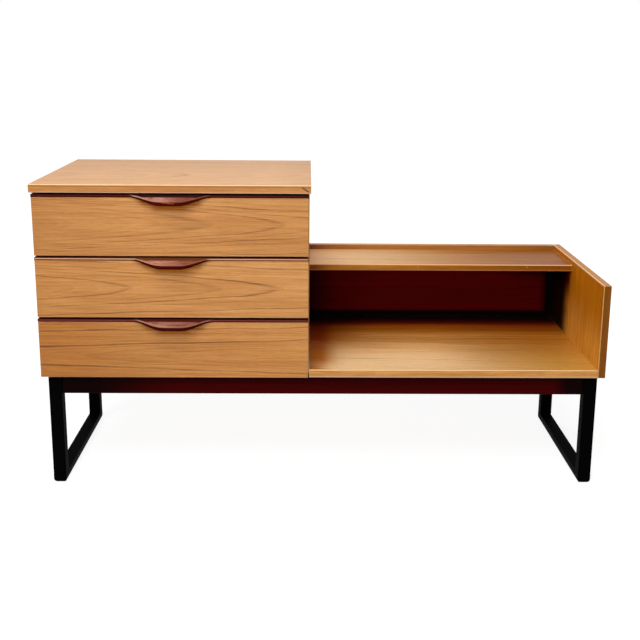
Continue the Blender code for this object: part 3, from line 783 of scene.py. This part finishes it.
def dark_ends(tree, place, colour):
    left = along_axis(tree, place, falls("X", RAIL_LOW.x + 0.06, RAIL_LOW.x + 0.26))
    right = along_axis(tree, place, rises("X", RAIL_HIGH.x - 0.07, RAIL_HIGH.x - 0.03))
    upper = along_axis(tree, place, ("Z", RAIL_HIGH.z - 0.020, RAIL_HIGH.z - 0.006, 0.0, 0.6))
    colour = shade(tree, colour, calc(tree, "MAXIMUM", left, right), (0.10, 0.4, 0.4))
    return shade(tree, colour, upper, (0.25, 0.5, 0.5))


def brown_behind(tree, place, colour):
    rear = along_axis(tree, place, rises("Y", BACK_FACE - 0.002, BACK_FACE - 0.001))
    tone = blend(tree, noise(tree, place, (3.0, 60.0, 90.0), 4.0, 0.65), BEHIND_DEEP, BEHIND_LIGHT)
    return blend(tree, rear, colour, tone)


def back_paint(tree, place, colour):
    foot = along_axis(tree, place, falls("Z", FLOOR_TOP + 0.009, FLOOR_TOP + 0.019))
    beside_end = along_axis(tree, place, rises("X", END_INNER - 0.032, END_INNER - 0.008))
    beside_drawers = along_axis(tree, place, falls("X", BAY_LEFT, BAY_LEFT + 0.08))
    under_shelf = where_all(tree, place, (rises("X", END_INNER - 0.14, END_INNER - 0.05),
                                          rises("Z", SHELF_UNDERSIDE - 0.07, SHELF_UNDERSIDE - 0.03)))
    colour = shade(tree, colour, calc(tree, "MAXIMUM", foot, beside_end), (0.02, 0.3, 0.3))
    colour = shade(tree, colour, beside_drawers, (0.35, 0.6, 0.6))
    colour = shade(tree, colour, under_shelf, (0.14, 0.5, 0.5))
    return brown_behind(tree, place, colour)


for name in ("front_base_rail", "rear_base_rail"):
    dress(name, plain_wood("stain", name, "x_over_z", STAIN, 0.45, worn=0.15, gloss=0.02, paint=dark_ends))
for name in ("chest_back_panel", "bench_back_panel"):
    dress(name, plain_wood("back", name, "x_over_z", BACKS, 0.5, lines=0.6, worn=0.15, gloss=0.02,
                           paint=back_paint))
print("rails and backs, materials:", len(bpy.data.materials))

# %% [markdown]
# ## Pulls
# The maker's best work is here: a hardwood strip along the top of each front, which swells into a lip for
# the fingers and dies away again at both ends. The lip could be sculpted, but it follows a rule: one
# outline for the plain strip, one for the fullest lip, and every section between is a mix of the two.
# Geometry Nodes do that on a tube, so the same tree makes all three pulls from named sizes.

# %% The two outlines of a pull
FRONT_THICKNESS = 0.017
STRIP_HEIGHT = 0.0055
STRIP_PROUD = 0.001
STRIP_EDGE = 0.0012
PULL_LENGTH = 0.176
PULL_REACH = 0.022
PULL_CREST = 0.0205
PULL_CREST_DROP = 0.0112
PULL_DEPTH = 0.0195
PULL_LIP = 0.006
PULL_CEILING = 0.0115
PULL_FLAT = 0.19
CORNER = 0.0006
REAR_CORNER = 0.0004
JOIN_GAP = 0.0008
TOP_RUN = 0.004


def arc(centre, radii, start, end, count):
    turns = [math.radians(start + (end - start) * step / (count - 1)) for step in range(count)]
    return [(centre[0] + radii[0] * math.cos(t), centre[1] + radii[1] * math.sin(t)) for t in turns]


def straight(first, last, count):
    return [tuple(a + (b - a) * step / (count - 1) for a, b in zip(first, last)) for step in range(count)]


def chain(*parts):
    """Parts of an outline in a row, each without its first point where that ends the part before."""
    return list(parts[0]) + [point for part in parts[1:] for point in part[1:]]


def strip_outline():
    """Reach and height round the plain strip: along its top, over its front, and back underneath."""
    round_centre = STRIP_PROUD - STRIP_EDGE
    edge = (STRIP_EDGE, STRIP_EDGE)
    return chain(
        straight((-TOP_RUN, 0.0), (round_centre, 0.0), 19),
        arc((round_centre, -STRIP_EDGE), edge, 90, 0, 8),
        straight((STRIP_PROUD, -STRIP_EDGE), (STRIP_PROUD, STRIP_EDGE - STRIP_HEIGHT), 6),
        arc((round_centre, STRIP_EDGE - STRIP_HEIGHT), edge, 0, -30, 14),
        arc((round_centre, STRIP_EDGE - STRIP_HEIGHT), edge, -30, -60, 14),
        arc((round_centre, STRIP_EDGE - STRIP_HEIGHT), edge, -60, -90, 4))


def lip_outline():
    """The same points where the lip is fullest: down a cove, round the lip and up into the hollow."""
    seat = STRIP_PROUD / 2
    crest_round = PULL_REACH - PULL_CREST
    nose = PULL_LIP / 2 - PULL_DEPTH
    return chain(
        arc((seat - CORNER, -CORNER), (CORNER, CORNER), 90, 0, 4),
        arc((PULL_CREST, -CORNER), (PULL_CREST - seat, PULL_CREST_DROP - CORNER), 180, 270, 16),
        arc((PULL_CREST, -PULL_CREST_DROP - crest_round), (crest_round, crest_round), 90, 0, 8),
        straight((PULL_REACH, -PULL_CREST_DROP - crest_round), (PULL_REACH, nose), 6),
        arc((PULL_REACH - PULL_LIP / 2, nose), (PULL_LIP / 2, PULL_LIP / 2), 0, -180, 14),
        arc((seat, nose), (PULL_REACH - PULL_LIP - seat, -nose - PULL_CEILING), 0, 90, 14),
        straight((seat, -PULL_CEILING), (seat, -STRIP_HEIGHT), 4))


def closed_outline(front, name):
    """The front points with the strip's underside, back and upper side behind them, as loose points."""
    rear = -FRONT_THICKNESS
    under = straight((front[-1][0] - JOIN_GAP, -STRIP_HEIGHT), (rear + REAR_CORNER, -STRIP_HEIGHT), 6)
    back = straight((rear, REAR_CORNER - STRIP_HEIGHT), (rear, -REAR_CORNER), 4)
    over = straight((rear + REAR_CORNER, 0.0), (front[0][0] - JOIN_GAP, 0.0), 6)
    points = front + under + back + over
    mesh = bpy.data.meshes.new(name)
    mesh.from_pydata([(0.0, -reach, height) for reach, height in points], [], [])
    outline = bpy.data.objects.new(name, mesh)
    bpy.context.scene.collection.objects.link(outline)
    return outline, len(points)


plain_outline, outline_count = closed_outline(strip_outline(), "plain_outline")
full_outline, full_count = closed_outline(lip_outline(), "full_outline")
print("points round the pull:", outline_count, full_count)

# %% [markdown]
# ## The pull's Geometry Nodes
# A closed tube has as many points round it as the outlines have, so a point's number says which outline
# point it takes, and its height along the tube says where along the strip it goes. The share of the full
# lip is a cosine that is flat round the middle.

# %% Geometry Nodes: pull
def start_geometry(name, inputs):
    tree = bpy.data.node_groups.new(name, "GeometryNodeTree")
    tree.interface.new_socket("Geometry", in_out="OUTPUT", socket_type="NodeSocketGeometry")
    sockets = {}
    for label, kind, value in inputs:
        socket = tree.interface.new_socket(label, in_out="INPUT", socket_type="NodeSocket" + kind)
        if value is not None:
            socket.default_value = value
        sockets[label] = socket.identifier
    return tree, tree.nodes.new("NodeGroupInput").outputs, tree.nodes.new("NodeGroupOutput").inputs, sockets


def end_geometry(tree, given, shape, material):
    """Every tree ends alike: instances become real, and the material is set."""
    real = node(tree, "GeometryNodeRealizeInstances", {"Geometry": shape})
    painted = node(tree, "GeometryNodeSetMaterial", {"Geometry": real.outputs[0], "Material": material})
    put(tree, given["Geometry"], painted.outputs[0])


def lip_share(tree, x, pull_length, flat):
    """How much of the full lip there is at x: 1 round the middle, 0 at both ends."""
    half = calc(tree, "MULTIPLY", pull_length, 0.5)
    run = calc(tree, "SUBTRACT", calc(tree, "DIVIDE", calc(tree, "ABSOLUTE", x), half), flat)
    run = calc(tree, "DIVIDE", calc(tree, "MAXIMUM", run, 0.0), calc(tree, "SUBTRACT", 1.0, flat))
    wave = calc(tree, "COSINE", calc(tree, "MULTIPLY", calc(tree, "MINIMUM", run, 1.0), math.pi))
    return calc(tree, "MULTIPLY_ADD", wave, 0.5, 0.5)


def make_pull_tree():
    inputs = (("Plain Outline", "Object", None), ("Full Outline", "Object", None), ("Points", "Int", 60),
              ("Sections", "Int", 221), ("Strip Length", "Float", 0.5), ("Pull Length", "Float", 0.17),
              ("Flat", "Float", 0.2), ("Place", "Vector", (0, 0, 0)), ("Wood", "Material", None))
    tree, taken, given, sockets = start_geometry("lip_pull", inputs)
    tube = node(tree, "GeometryNodeMeshCylinder", {"Vertices": taken["Points"], "Radius": 1.0, "Depth": 1.0,
                                                   "Side Segments": taken["Sections"]})
    index = tree.nodes.new("GeometryNodeInputIndex").outputs[0]
    turn_number = calc(tree, "FLOORED_MODULO", index, taken["Points"])
    along = axes_of(tree, tree.nodes.new("GeometryNodeInputPosition").outputs[0])[2]
    x = calc(tree, "MULTIPLY", along, taken["Strip Length"])
    points = []
    for label in ("Plain Outline", "Full Outline"):
        shape = node(tree, "GeometryNodeObjectInfo", {"Object": taken[label]}).outputs["Geometry"]
        sample = node(tree, "GeometryNodeSampleIndex", {"Geometry": shape}, data_type="FLOAT_VECTOR",
                      domain="POINT")
        put(tree, sample.inputs["Value"], tree.nodes.new("GeometryNodeInputPosition").outputs[0])
        put(tree, sample.inputs["Index"], turn_number)
        points.append(sample.outputs[0])
    section = node(tree, "ShaderNodeMix", data_type="VECTOR")
    share = lip_share(tree, x, taken["Pull Length"], taken["Flat"])
    for slot, value in ((0, share), (4, points[0]), (5, points[1])):
        put(tree, section.inputs[slot], value)
    offset = node(tree, "ShaderNodeCombineXYZ", {0: x}).outputs[0]
    place = vector(tree, "ADD", vector(tree, "ADD", section.outputs[1], offset), taken["Place"])
    shaped = node(tree, "GeometryNodeSetPosition", {"Geometry": tube.outputs["Mesh"], "Position": place})
    smooth = node(tree, "GeometryNodeSetShadeSmooth", {"Geometry": shaped.outputs[0], "Shade Smooth": True})
    end_geometry(tree, given, smooth.outputs[0], taken["Wood"])
    return tree, sockets


pull_tree, pull_sockets = make_pull_tree()
print("pull tree nodes:", len(pull_tree.nodes))

# %% [markdown]
# ## How a pull is worn, and its painted light and shade
# The ledge of the lip is paler in patches, most of all at the left, and its crest is pale: both are painted
# highlights. The upright face of the cove above and the lip's front under the crest are painted shade,
# and the upper lip has a chip. The plain strip's tone differs from drawer to drawer with the light:
# darkest on the upper one, under the chest top, and a painted highlight on the middle one. Each strip has
# a painted shadow line along its top, under the gap above it, and is darker along its foot. One group
# turns the place on a pull into masks for these, measured down from the strip's top and along from the
# lip's middle, and each drawer has its own tones.

# %% Shader group: pull light and wear
WALL_FOOT = (0.0042, 0.0060)
WALL_END = (-0.0016, -0.0006)
CREST_RISE = (-0.0012, -0.0002)
CREST_FALL = (-0.0002, 0.0008)
BAND_START = (0.0, 0.0014)
HIGHLIGHT_RUN = (-0.045, 0.035)
STRIP_FOOT_RUN = (STRIP_HEIGHT * 0.52, STRIP_HEIGHT * 0.66)
GAP_SHADOW_RUN = (0.0008, 0.0014)


def make_pull_light_and_wear():
    inputs = (("Place", "Vector", (0, 0, 0)), ("Top", "Float", 0.0), ("Middle", "Float", 0.0),
              ("Right", "Float", 0.5))
    outputs = [(label, "Float") for label in ("Wall Shade", "Ledge Highlight", "Crest Highlight", "Band Shade", "Strip", "Seam", "Gap Shadow")]
    group, taken, given = start_group("pull_light_and_wear", inputs, outputs)
    axes = axes_of(group, taken["Place"])
    drop = calc(group, "SUBTRACT", taken["Top"], axes[2])
    sideways = calc(group, "SUBTRACT", axes[0], taken["Middle"])
    share = lip_share(group, sideways, PULL_LENGTH, PULL_FLAT)
    crest = calc(group, "MULTIPLY_ADD", share, PULL_CREST_DROP - STRIP_EDGE, STRIP_EDGE)
    below = calc(group, "SUBTRACT", drop, crest)
    wall_shade = calc(group, "MULTIPLY", ramp(group, drop, *WALL_FOOT, 1.0, 0.0), ramp(group, share, 0.01, 0.12))
    wall_shade = calc(group, "MULTIPLY", wall_shade, ramp(group, below, *WALL_END, 1.0, 0.0))
    blotches = noise(group, taken["Place"], (45.0, 160.0, 160.0), 3.0, 0.6)
    patches = ramp(group, blotches, 0.30, 0.66, 0.25, 1.0)
    band_shade = ramp(group, below, *BAND_START)
    near_crest = calc(group, "MULTIPLY", ramp(group, below, *CREST_RISE),
                      ramp(group, below, *CREST_FALL, 1.0, 0.0))
    to_right = ramp(group, sideways, *HIGHLIGHT_RUN, 1.0, taken["Right"])
    rubbed_and_highlit = calc(group, "MULTIPLY", patches, calc(group, "SUBTRACT", 1.0, band_shade))
    put(group, given["Wall Shade"], wall_shade)
    put(group, given["Ledge Highlight"], calc(group, "MULTIPLY", rubbed_and_highlit, to_right))
    put(group, given["Crest Highlight"], calc(group, "MULTIPLY", near_crest, to_right))
    put(group, given["Band Shade"], band_shade)
    put(group, given["Strip"], ramp(group, share, 0.0, 0.16, 1.0, 0.0))
    put(group, given["Seam"], ramp(group, drop, *STRIP_FOOT_RUN))
    put(group, given["Gap Shadow"], ramp(group, drop, *GAP_SHADOW_RUN, 1.0, 0.0))
    return group


pull_light_and_wear = make_pull_light_and_wear()
print(pull_light_and_wear.name, "nodes:", len(pull_light_and_wear.nodes))

# %% Paint for a pull: wear, painted light and painted shade
# Tones per drawer are partly painted light and shade: lit and shaded copies of one wood.
PULL_TONES = {
    "upper_drawer": {"Strip": (0.072, 0.012, 0.008), "Seam": (0.060, 0.006, 0.001),
                     "Gap Shadow": (0.022, 0.002, 0.001), "Ledge Highlight": (0.51, 0.255, 0.190),
                     "Wall Shade": (0.022, 0.004, 0.002), "Band Shade": (0.070, 0.003, 0.001)},
    "middle_drawer": {"Strip": (0.70, 0.340, 0.210), "Seam": (0.17, 0.048, 0.010),
                      "Gap Shadow": (0.085, 0.018, 0.008), "Ledge Highlight": (0.48, 0.220, 0.145),
                      "Wall Shade": (0.120, 0.030, 0.008), "Band Shade": (0.060, 0.003, 0.001)},
    "lower_drawer": {"Strip": (0.185, 0.046, 0.042), "Seam": (0.045, 0.002, 0.002),
                     "Gap Shadow": (0.045, 0.003, 0.002), "Ledge Highlight": (0.38, 0.180, 0.120),
                     "Wall Shade": (0.058, 0.007, 0.004), "Band Shade": (0.045, 0.003, 0.002)},
}
# How much of the painted ledge highlight is left at the lip's right end.
RIGHT_SHARES = {"upper_drawer": 0.15, "middle_drawer": 0.30, "lower_drawer": 0.48}
LIP_CREST_HIGHLIGHT = (0.46, 0.23, 0.17)
LIP_CHIP = (0.30, 0.075, 0.035)
CHIPS = {"upper_drawer": (((-0.012, 0.0122), (0.000, 0.0126), 0.0018),
                          ((-0.002, 0.0138), (0.010, 0.0142), 0.0010))}


def worn_and_lit_pull(drawer, top, middle):
    def paint(tree, place, colour):
        tones = PULL_TONES[drawer]
        values = {"Place": place, "Top": top, "Middle": middle, "Right": RIGHT_SHARES[drawer]}
        wear = fill_group(tree, pull_light_and_wear, values)
        # Painted highlight on ledge and crest, painted shade on the cove and lip front, then the chip.
        colour = blend(tree, wear["Ledge Highlight"], colour, tones["Ledge Highlight"])
        colour = blend(tree, wear["Wall Shade"], colour, tones["Wall Shade"])
        colour = blend(tree, calc(tree, "MULTIPLY", wear["Crest Highlight"], 0.5), colour, LIP_CREST_HIGHLIGHT)
        colour = blend(tree, wear["Band Shade"], colour, tones["Band Shade"])
        for first, last, width in CHIPS.get(drawer, ()):
            ends = [(middle + along, FRONT_FACE - PULL_REACH, top - drop) for along, drop in (first, last)]
            colour = draw_mark(tree, place, colour, (*ends, width, LIP_CHIP))
        # The strip: its tone, its darker foot, and the painted shadow line of the gap.
        strip = blend(tree, wear["Seam"], tones["Strip"], tones["Seam"])
        strip = blend(tree, wear["Gap Shadow"], strip, tones["Gap Shadow"])
        return blend(tree, wear["Strip"], colour, strip)
    return paint


print("tones for pulls:", sorted(PULL_TONES))


# %% Make one pull for each drawer
def grow(name, tree, sockets, values):
    """An object whose mesh is what the tree makes from these values."""
    obj = bpy.data.objects.new(name, bpy.data.meshes.new(name))
    bpy.context.scene.collection.objects.link(obj)
    modifier = obj.modifiers.new(name, "NODES")
    modifier.node_group = tree
    for label, value in values.items():
        modifier[sockets[label]] = value
    graph = bpy.context.evaluated_depsgraph_get()
    mesh = bpy.data.meshes.new_from_object(obj.evaluated_get(graph), depsgraph=graph)
    obj.modifiers.clear()
    obj.data = mesh
    return obj


def point_outwards(obj):
    """Turn all faces outwards, and give the volume that they enclose."""
    shape = bmesh.new()
    shape.from_mesh(obj.data)
    bmesh.ops.recalc_face_normals(shape, faces=shape.faces)
    volume = shape.calc_volume(signed=True)
    shape.to_mesh(obj.data)
    shape.free()
    return volume


for drawer in DRAWERS:
    node_name = drawer + "_pull"
    low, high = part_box(node_name)
    middle = (low.x + high.x) / 2
    wood = plain_wood("dark", node_name, "x_over_z", DARK, 0.30, lines=0.6, worn=0.5, gloss=0.015,
                      paint=worn_and_lit_pull(drawer, high.z, middle))
    values = {"Plain Outline": plain_outline, "Full Outline": full_outline, "Points": outline_count,
              "Strip Length": high.x - low.x, "Pull Length": PULL_LENGTH, "Flat": PULL_FLAT,
              "Place": (middle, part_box(drawer + "_front")[0].y, high.z), "Wood": wood}
    pull = grow(drawer + "_lip_pull", pull_tree, pull_sockets, values)
    volume = point_outwards(pull)
    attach(pull, drawer)
    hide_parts(node_name)
    print(pull.name, "faces:", len(pull.data.polygons), "volume cm3:", round(volume * 1e6, 2))
for outline in (plain_outline, full_outline):
    bpy.data.objects.remove(outline, do_unlink=True)

# %% [markdown]
# ## Panel pins and screws
# Thin backs like these are nailed into their rebates with small pins, about a hand's width apart, and the
# corner blocks are screwed up into the cabinet. Both repeat, so Geometry Nodes set them out. A pin is a
# flat head on points along a rectangle, and a screw is a head with a slot cut across it, at the corners
# of a grid.

# %% Steel
def make_steel():
    material, tree, shader, place = start_material("aged_steel", (0.42, 0.40, 0.37))
    spots = ramp(tree, noise(tree, place, (420.0, 420.0, 420.0), 3.0, 0.6), 0.42, 0.66)
    put(tree, shader.inputs["Base Color"], blend(tree, spots, (0.34, 0.32, 0.29), (0.10, 0.05, 0.03)))
    put(tree, shader.inputs["Roughness"], calc(tree, "MULTIPLY_ADD", spots, 0.35, 0.35))
    put(tree, shader.inputs["Metallic"], calc(tree, "MULTIPLY_ADD", spots, -0.6, 1.0))
    return material


steel = make_steel()
PIN_RADIUS = 0.0011
PIN_RISE = 0.0003
PIN_PITCH = 0.075
PIN_INSET = 0.004
SCREW_RADIUS = 0.0035
SCREW_RISE = 0.0008
print("steel:", steel.name)


# %% Geometry Nodes: panel pins
def make_pin_tree():
    inputs = (("Width", "Float", 0.5), ("Height", "Float", 0.3), ("Middle", "Vector", (0, 0, 0)),
              ("Pitch", "Float", 0.075), ("Radius", "Float", 0.0014), ("Rise", "Float", 0.0003),
              ("Metal", "Material", None))
    tree, taken, given, sockets = start_geometry("panel_pins", inputs)
    path = node(tree, "GeometryNodeCurvePrimitiveQuadrilateral",
                {"Width": taken["Width"], "Height": taken["Height"]})
    upright = node(tree, "GeometryNodeTransform",
                   {"Geometry": path.outputs[0], "Translation": taken["Middle"],
                    "Rotation": (math.pi / 2, 0.0, 0.0)})
    spots = node(tree, "GeometryNodeResampleCurve",
                 {"Curve": upright.outputs[0], "Length": taken["Pitch"]}, mode="LENGTH")
    narrow = calc(tree, "MULTIPLY", taken["Radius"], 0.7)
    head = node(tree, "GeometryNodeMeshCone", {"Vertices": 14, "Radius Top": narrow,
                                               "Radius Bottom": taken["Radius"], "Depth": taken["Rise"]})
    outwards = node(tree, "GeometryNodeTransform",
                    {"Geometry": head.outputs["Mesh"], "Rotation": (-math.pi / 2, 0.0, 0.0)})
    heads = node(tree, "GeometryNodeInstanceOnPoints",
                 {"Points": spots.outputs[0], "Instance": outwards.outputs[0]})
    end_geometry(tree, given, heads.outputs[0], taken["Metal"])
    return tree, sockets


pin_tree, pin_sockets = make_pin_tree()
for panel in ("chest_back_panel", "bench_back_panel"):
    low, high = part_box(panel)
    values = {"Width": high.x - low.x - 2 * PIN_INSET, "Height": high.z - low.z - 2 * PIN_INSET,
              "Middle": ((low.x + high.x) / 2, high.y, (low.z + high.z) / 2), "Pitch": PIN_PITCH,
              "Radius": PIN_RADIUS, "Rise": PIN_RISE, "Metal": steel}
    pins = grow(panel + "_pins", pin_tree, pin_sockets, values)
    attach(pins, "cabinet")
    print(pins.name, "faces:", len(pins.data.polygons))


# %% Geometry Nodes: screws under the corner blocks
def make_screw_tree():
    inputs = (("Span", "Vector", (1, 0.3, 0)), ("Middle", "Vector", (0, 0, 0)), ("Radius", "Float", 0.0035),
              ("Rise", "Float", 0.0008), ("Metal", "Material", None))
    tree, taken, given, sockets = start_geometry("block_screws", inputs)
    span = axes_of(tree, taken["Span"])
    corners = node(tree, "GeometryNodeMeshGrid",
                   {"Size X": span[0], "Size Y": span[1], "Vertices X": 2, "Vertices Y": 2})
    placed = node(tree, "GeometryNodeTransform",
                  {"Geometry": corners.outputs["Mesh"], "Translation": taken["Middle"]})
    head = node(tree, "GeometryNodeMeshCylinder",
                {"Vertices": 28, "Radius": taken["Radius"], "Depth": taken["Rise"]})
    slot_length = calc(tree, "MULTIPLY", taken["Radius"], 3.0)
    slot_width = calc(tree, "MULTIPLY", taken["Radius"], 0.3)
    slot_size = node(tree, "ShaderNodeCombineXYZ", {0: slot_length, 1: slot_width, 2: taken["Rise"]})
    slot = node(tree, "GeometryNodeMeshCube", {"Size": slot_size.outputs[0]})
    lower = node(tree, "ShaderNodeCombineXYZ", {2: calc(tree, "MULTIPLY", taken["Rise"], -0.5)})
    slot = node(tree, "GeometryNodeTransform",
                {"Geometry": slot.outputs["Mesh"], "Translation": lower.outputs[0]})
    cut = node(tree, "GeometryNodeMeshBoolean",
               {"Mesh 1": head.outputs["Mesh"], "Mesh 2": slot.outputs[0]}, operation="DIFFERENCE")
    turned = node(tree, "FunctionNodeRandomValue", {"Max": (0.0, 0.0, math.pi), "Seed": 4},
                  data_type="FLOAT_VECTOR")
    heads = node(tree, "GeometryNodeInstanceOnPoints",
                 {"Points": placed.outputs[0], "Instance": cut.outputs[0], "Rotation": turned.outputs[0]})
    end_geometry(tree, given, heads.outputs[0], taken["Metal"])
    return tree, sockets


screw_tree, screw_sockets = make_screw_tree()
near_low, near_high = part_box("front_left_corner_block")
far_low, far_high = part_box("rear_right_corner_block")
third = (near_high.x - near_low.x) / 3
first = Vector((near_low.x + third, near_low.y + third, near_low.z))
last = Vector((far_high.x - third, far_high.y - third, far_low.z))
middle = (first + last) / 2 - Vector((0.0, 0.0, SCREW_RISE / 2))
values = {"Span": tuple(last - first), "Middle": tuple(middle), "Radius": SCREW_RADIUS, "Rise": SCREW_RISE,
          "Metal": steel}
screws = grow("corner_block_screws", screw_tree, screw_sockets, values)
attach(screws, "cabinet")
print(screws.name, "faces:", len(screws.data.polygons))

# %% [markdown]
# ## Floor, backdrop and light
# The bench stands on a plain pale floor in a white room. What the camera sees of floor and world is white
# by itself, so no extra light falls on the bench for it, and the floor still takes a faint shadow. A
# large soft lamp above the front does most of the work, as a window would, with a weak one behind the
# camera. A third lights the back, and is kept out of reflections so that it leaves no bright streak on
# the lacquer.

# %% Floor
WHITE = (1.0, 1.0, 1.0)
FLOOR_REACH = 9.0
FLOOR_PALE = (0.45, 0.45, 0.45)
FLOOR_SHADED = (0.30, 0.30, 0.30)
GLOW_REACH = (0.8, 1.6)
GLOW_NEAR, GLOW_FAR = 0.88, 1.0


def white_for_camera(tree):
    """A share of 1 for rays from the camera, off gloss and through glass, which see the white room."""
    path = tree.nodes.new("ShaderNodeLightPath").outputs
    seen = calc(tree, "MAXIMUM", path["Is Camera Ray"], path["Is Glossy Ray"])
    return calc(tree, "MAXIMUM", seen, path["Is Transmission Ray"])


floor_mesh = bpy.data.meshes.new("floor")
floor_corners = [(FLOOR_REACH * x, FLOOR_REACH * y, 0.0) for x, y in ((-1, -1), (1, -1), (1, 1), (-1, 1))]
floor_mesh.from_pydata(floor_corners, [], [(0, 1, 2, 3)])
floor = bpy.data.objects.new("floor", floor_mesh)
bpy.context.scene.collection.objects.link(floor)
floor_paint = bpy.data.materials.new("pale_floor")
floor_paint.use_nodes = True
tree = floor_paint.node_tree
tree.nodes.clear()
pale = node(tree, "ShaderNodeBsdfDiffuse", {"Color": FLOOR_PALE})
away = vector(tree, "LENGTH", tree.nodes.new("ShaderNodeTexCoord").outputs["Object"])
strength = ramp(tree, away, *GLOW_REACH, GLOW_NEAR, GLOW_FAR)
glow = node(tree, "ShaderNodeEmission", {"Color": WHITE, "Strength": strength})
dim = node(tree, "ShaderNodeBsdfDiffuse", {"Color": FLOOR_SHADED})
lit = node(tree, "ShaderNodeAddShader", {0: glow.outputs[0], 1: dim.outputs[0]})
choice = node(tree, "ShaderNodeMixShader",
              {0: white_for_camera(tree), 1: pale.outputs[0], 2: lit.outputs[0]})
node(tree, "ShaderNodeOutputMaterial", {"Surface": choice.outputs[0]})
floor_mesh.materials.append(floor_paint)
print("floor:", 2 * FLOOR_REACH, "m square")

# %% World
AMBIENT_STRENGTH = 0.10
world = bpy.data.worlds.new("white_room")
bpy.context.scene.world = world
world.use_nodes = True
tree = world.node_tree
tree.nodes.clear()
ambient = node(tree, "ShaderNodeBackground", {"Color": WHITE, "Strength": AMBIENT_STRENGTH})
room = node(tree, "ShaderNodeBackground", {"Color": WHITE, "Strength": 1.0})
choice = node(tree, "ShaderNodeMixShader",
              {0: white_for_camera(tree), 1: ambient.outputs[0], 2: room.outputs[0]})
node(tree, "ShaderNodeOutputWorld", {"Surface": choice.outputs[0]})
print("world:", world.name)

# %% Lamps
BENCH_MIDDLE = Vector((0.0, 0.0, 0.35))


def lamp(name, place, size, power):
    """A square soft lamp that shines on the middle of the bench."""
    light = bpy.data.lights.new(name, "AREA")
    light.size = size
    light.energy = power
    obj = bpy.data.objects.new(name, light)
    obj.location = place
    obj.rotation_euler = (BENCH_MIDDLE - Vector(place)).to_track_quat("-Z", "Y").to_euler()
    bpy.context.scene.collection.objects.link(obj)
    return obj


lamp("overhead", (-0.5, -1.45, 2.6), 2.2, 80.0)
lamp("front_fill", (-0.5, -3.3, 1.1), 1.6, 24.0)
lamp("rear_fill", (-0.9, 2.8, 1.9), 1.8, 26.0).visible_glossy = False
bpy.context.scene.view_settings.view_transform = "Standard"
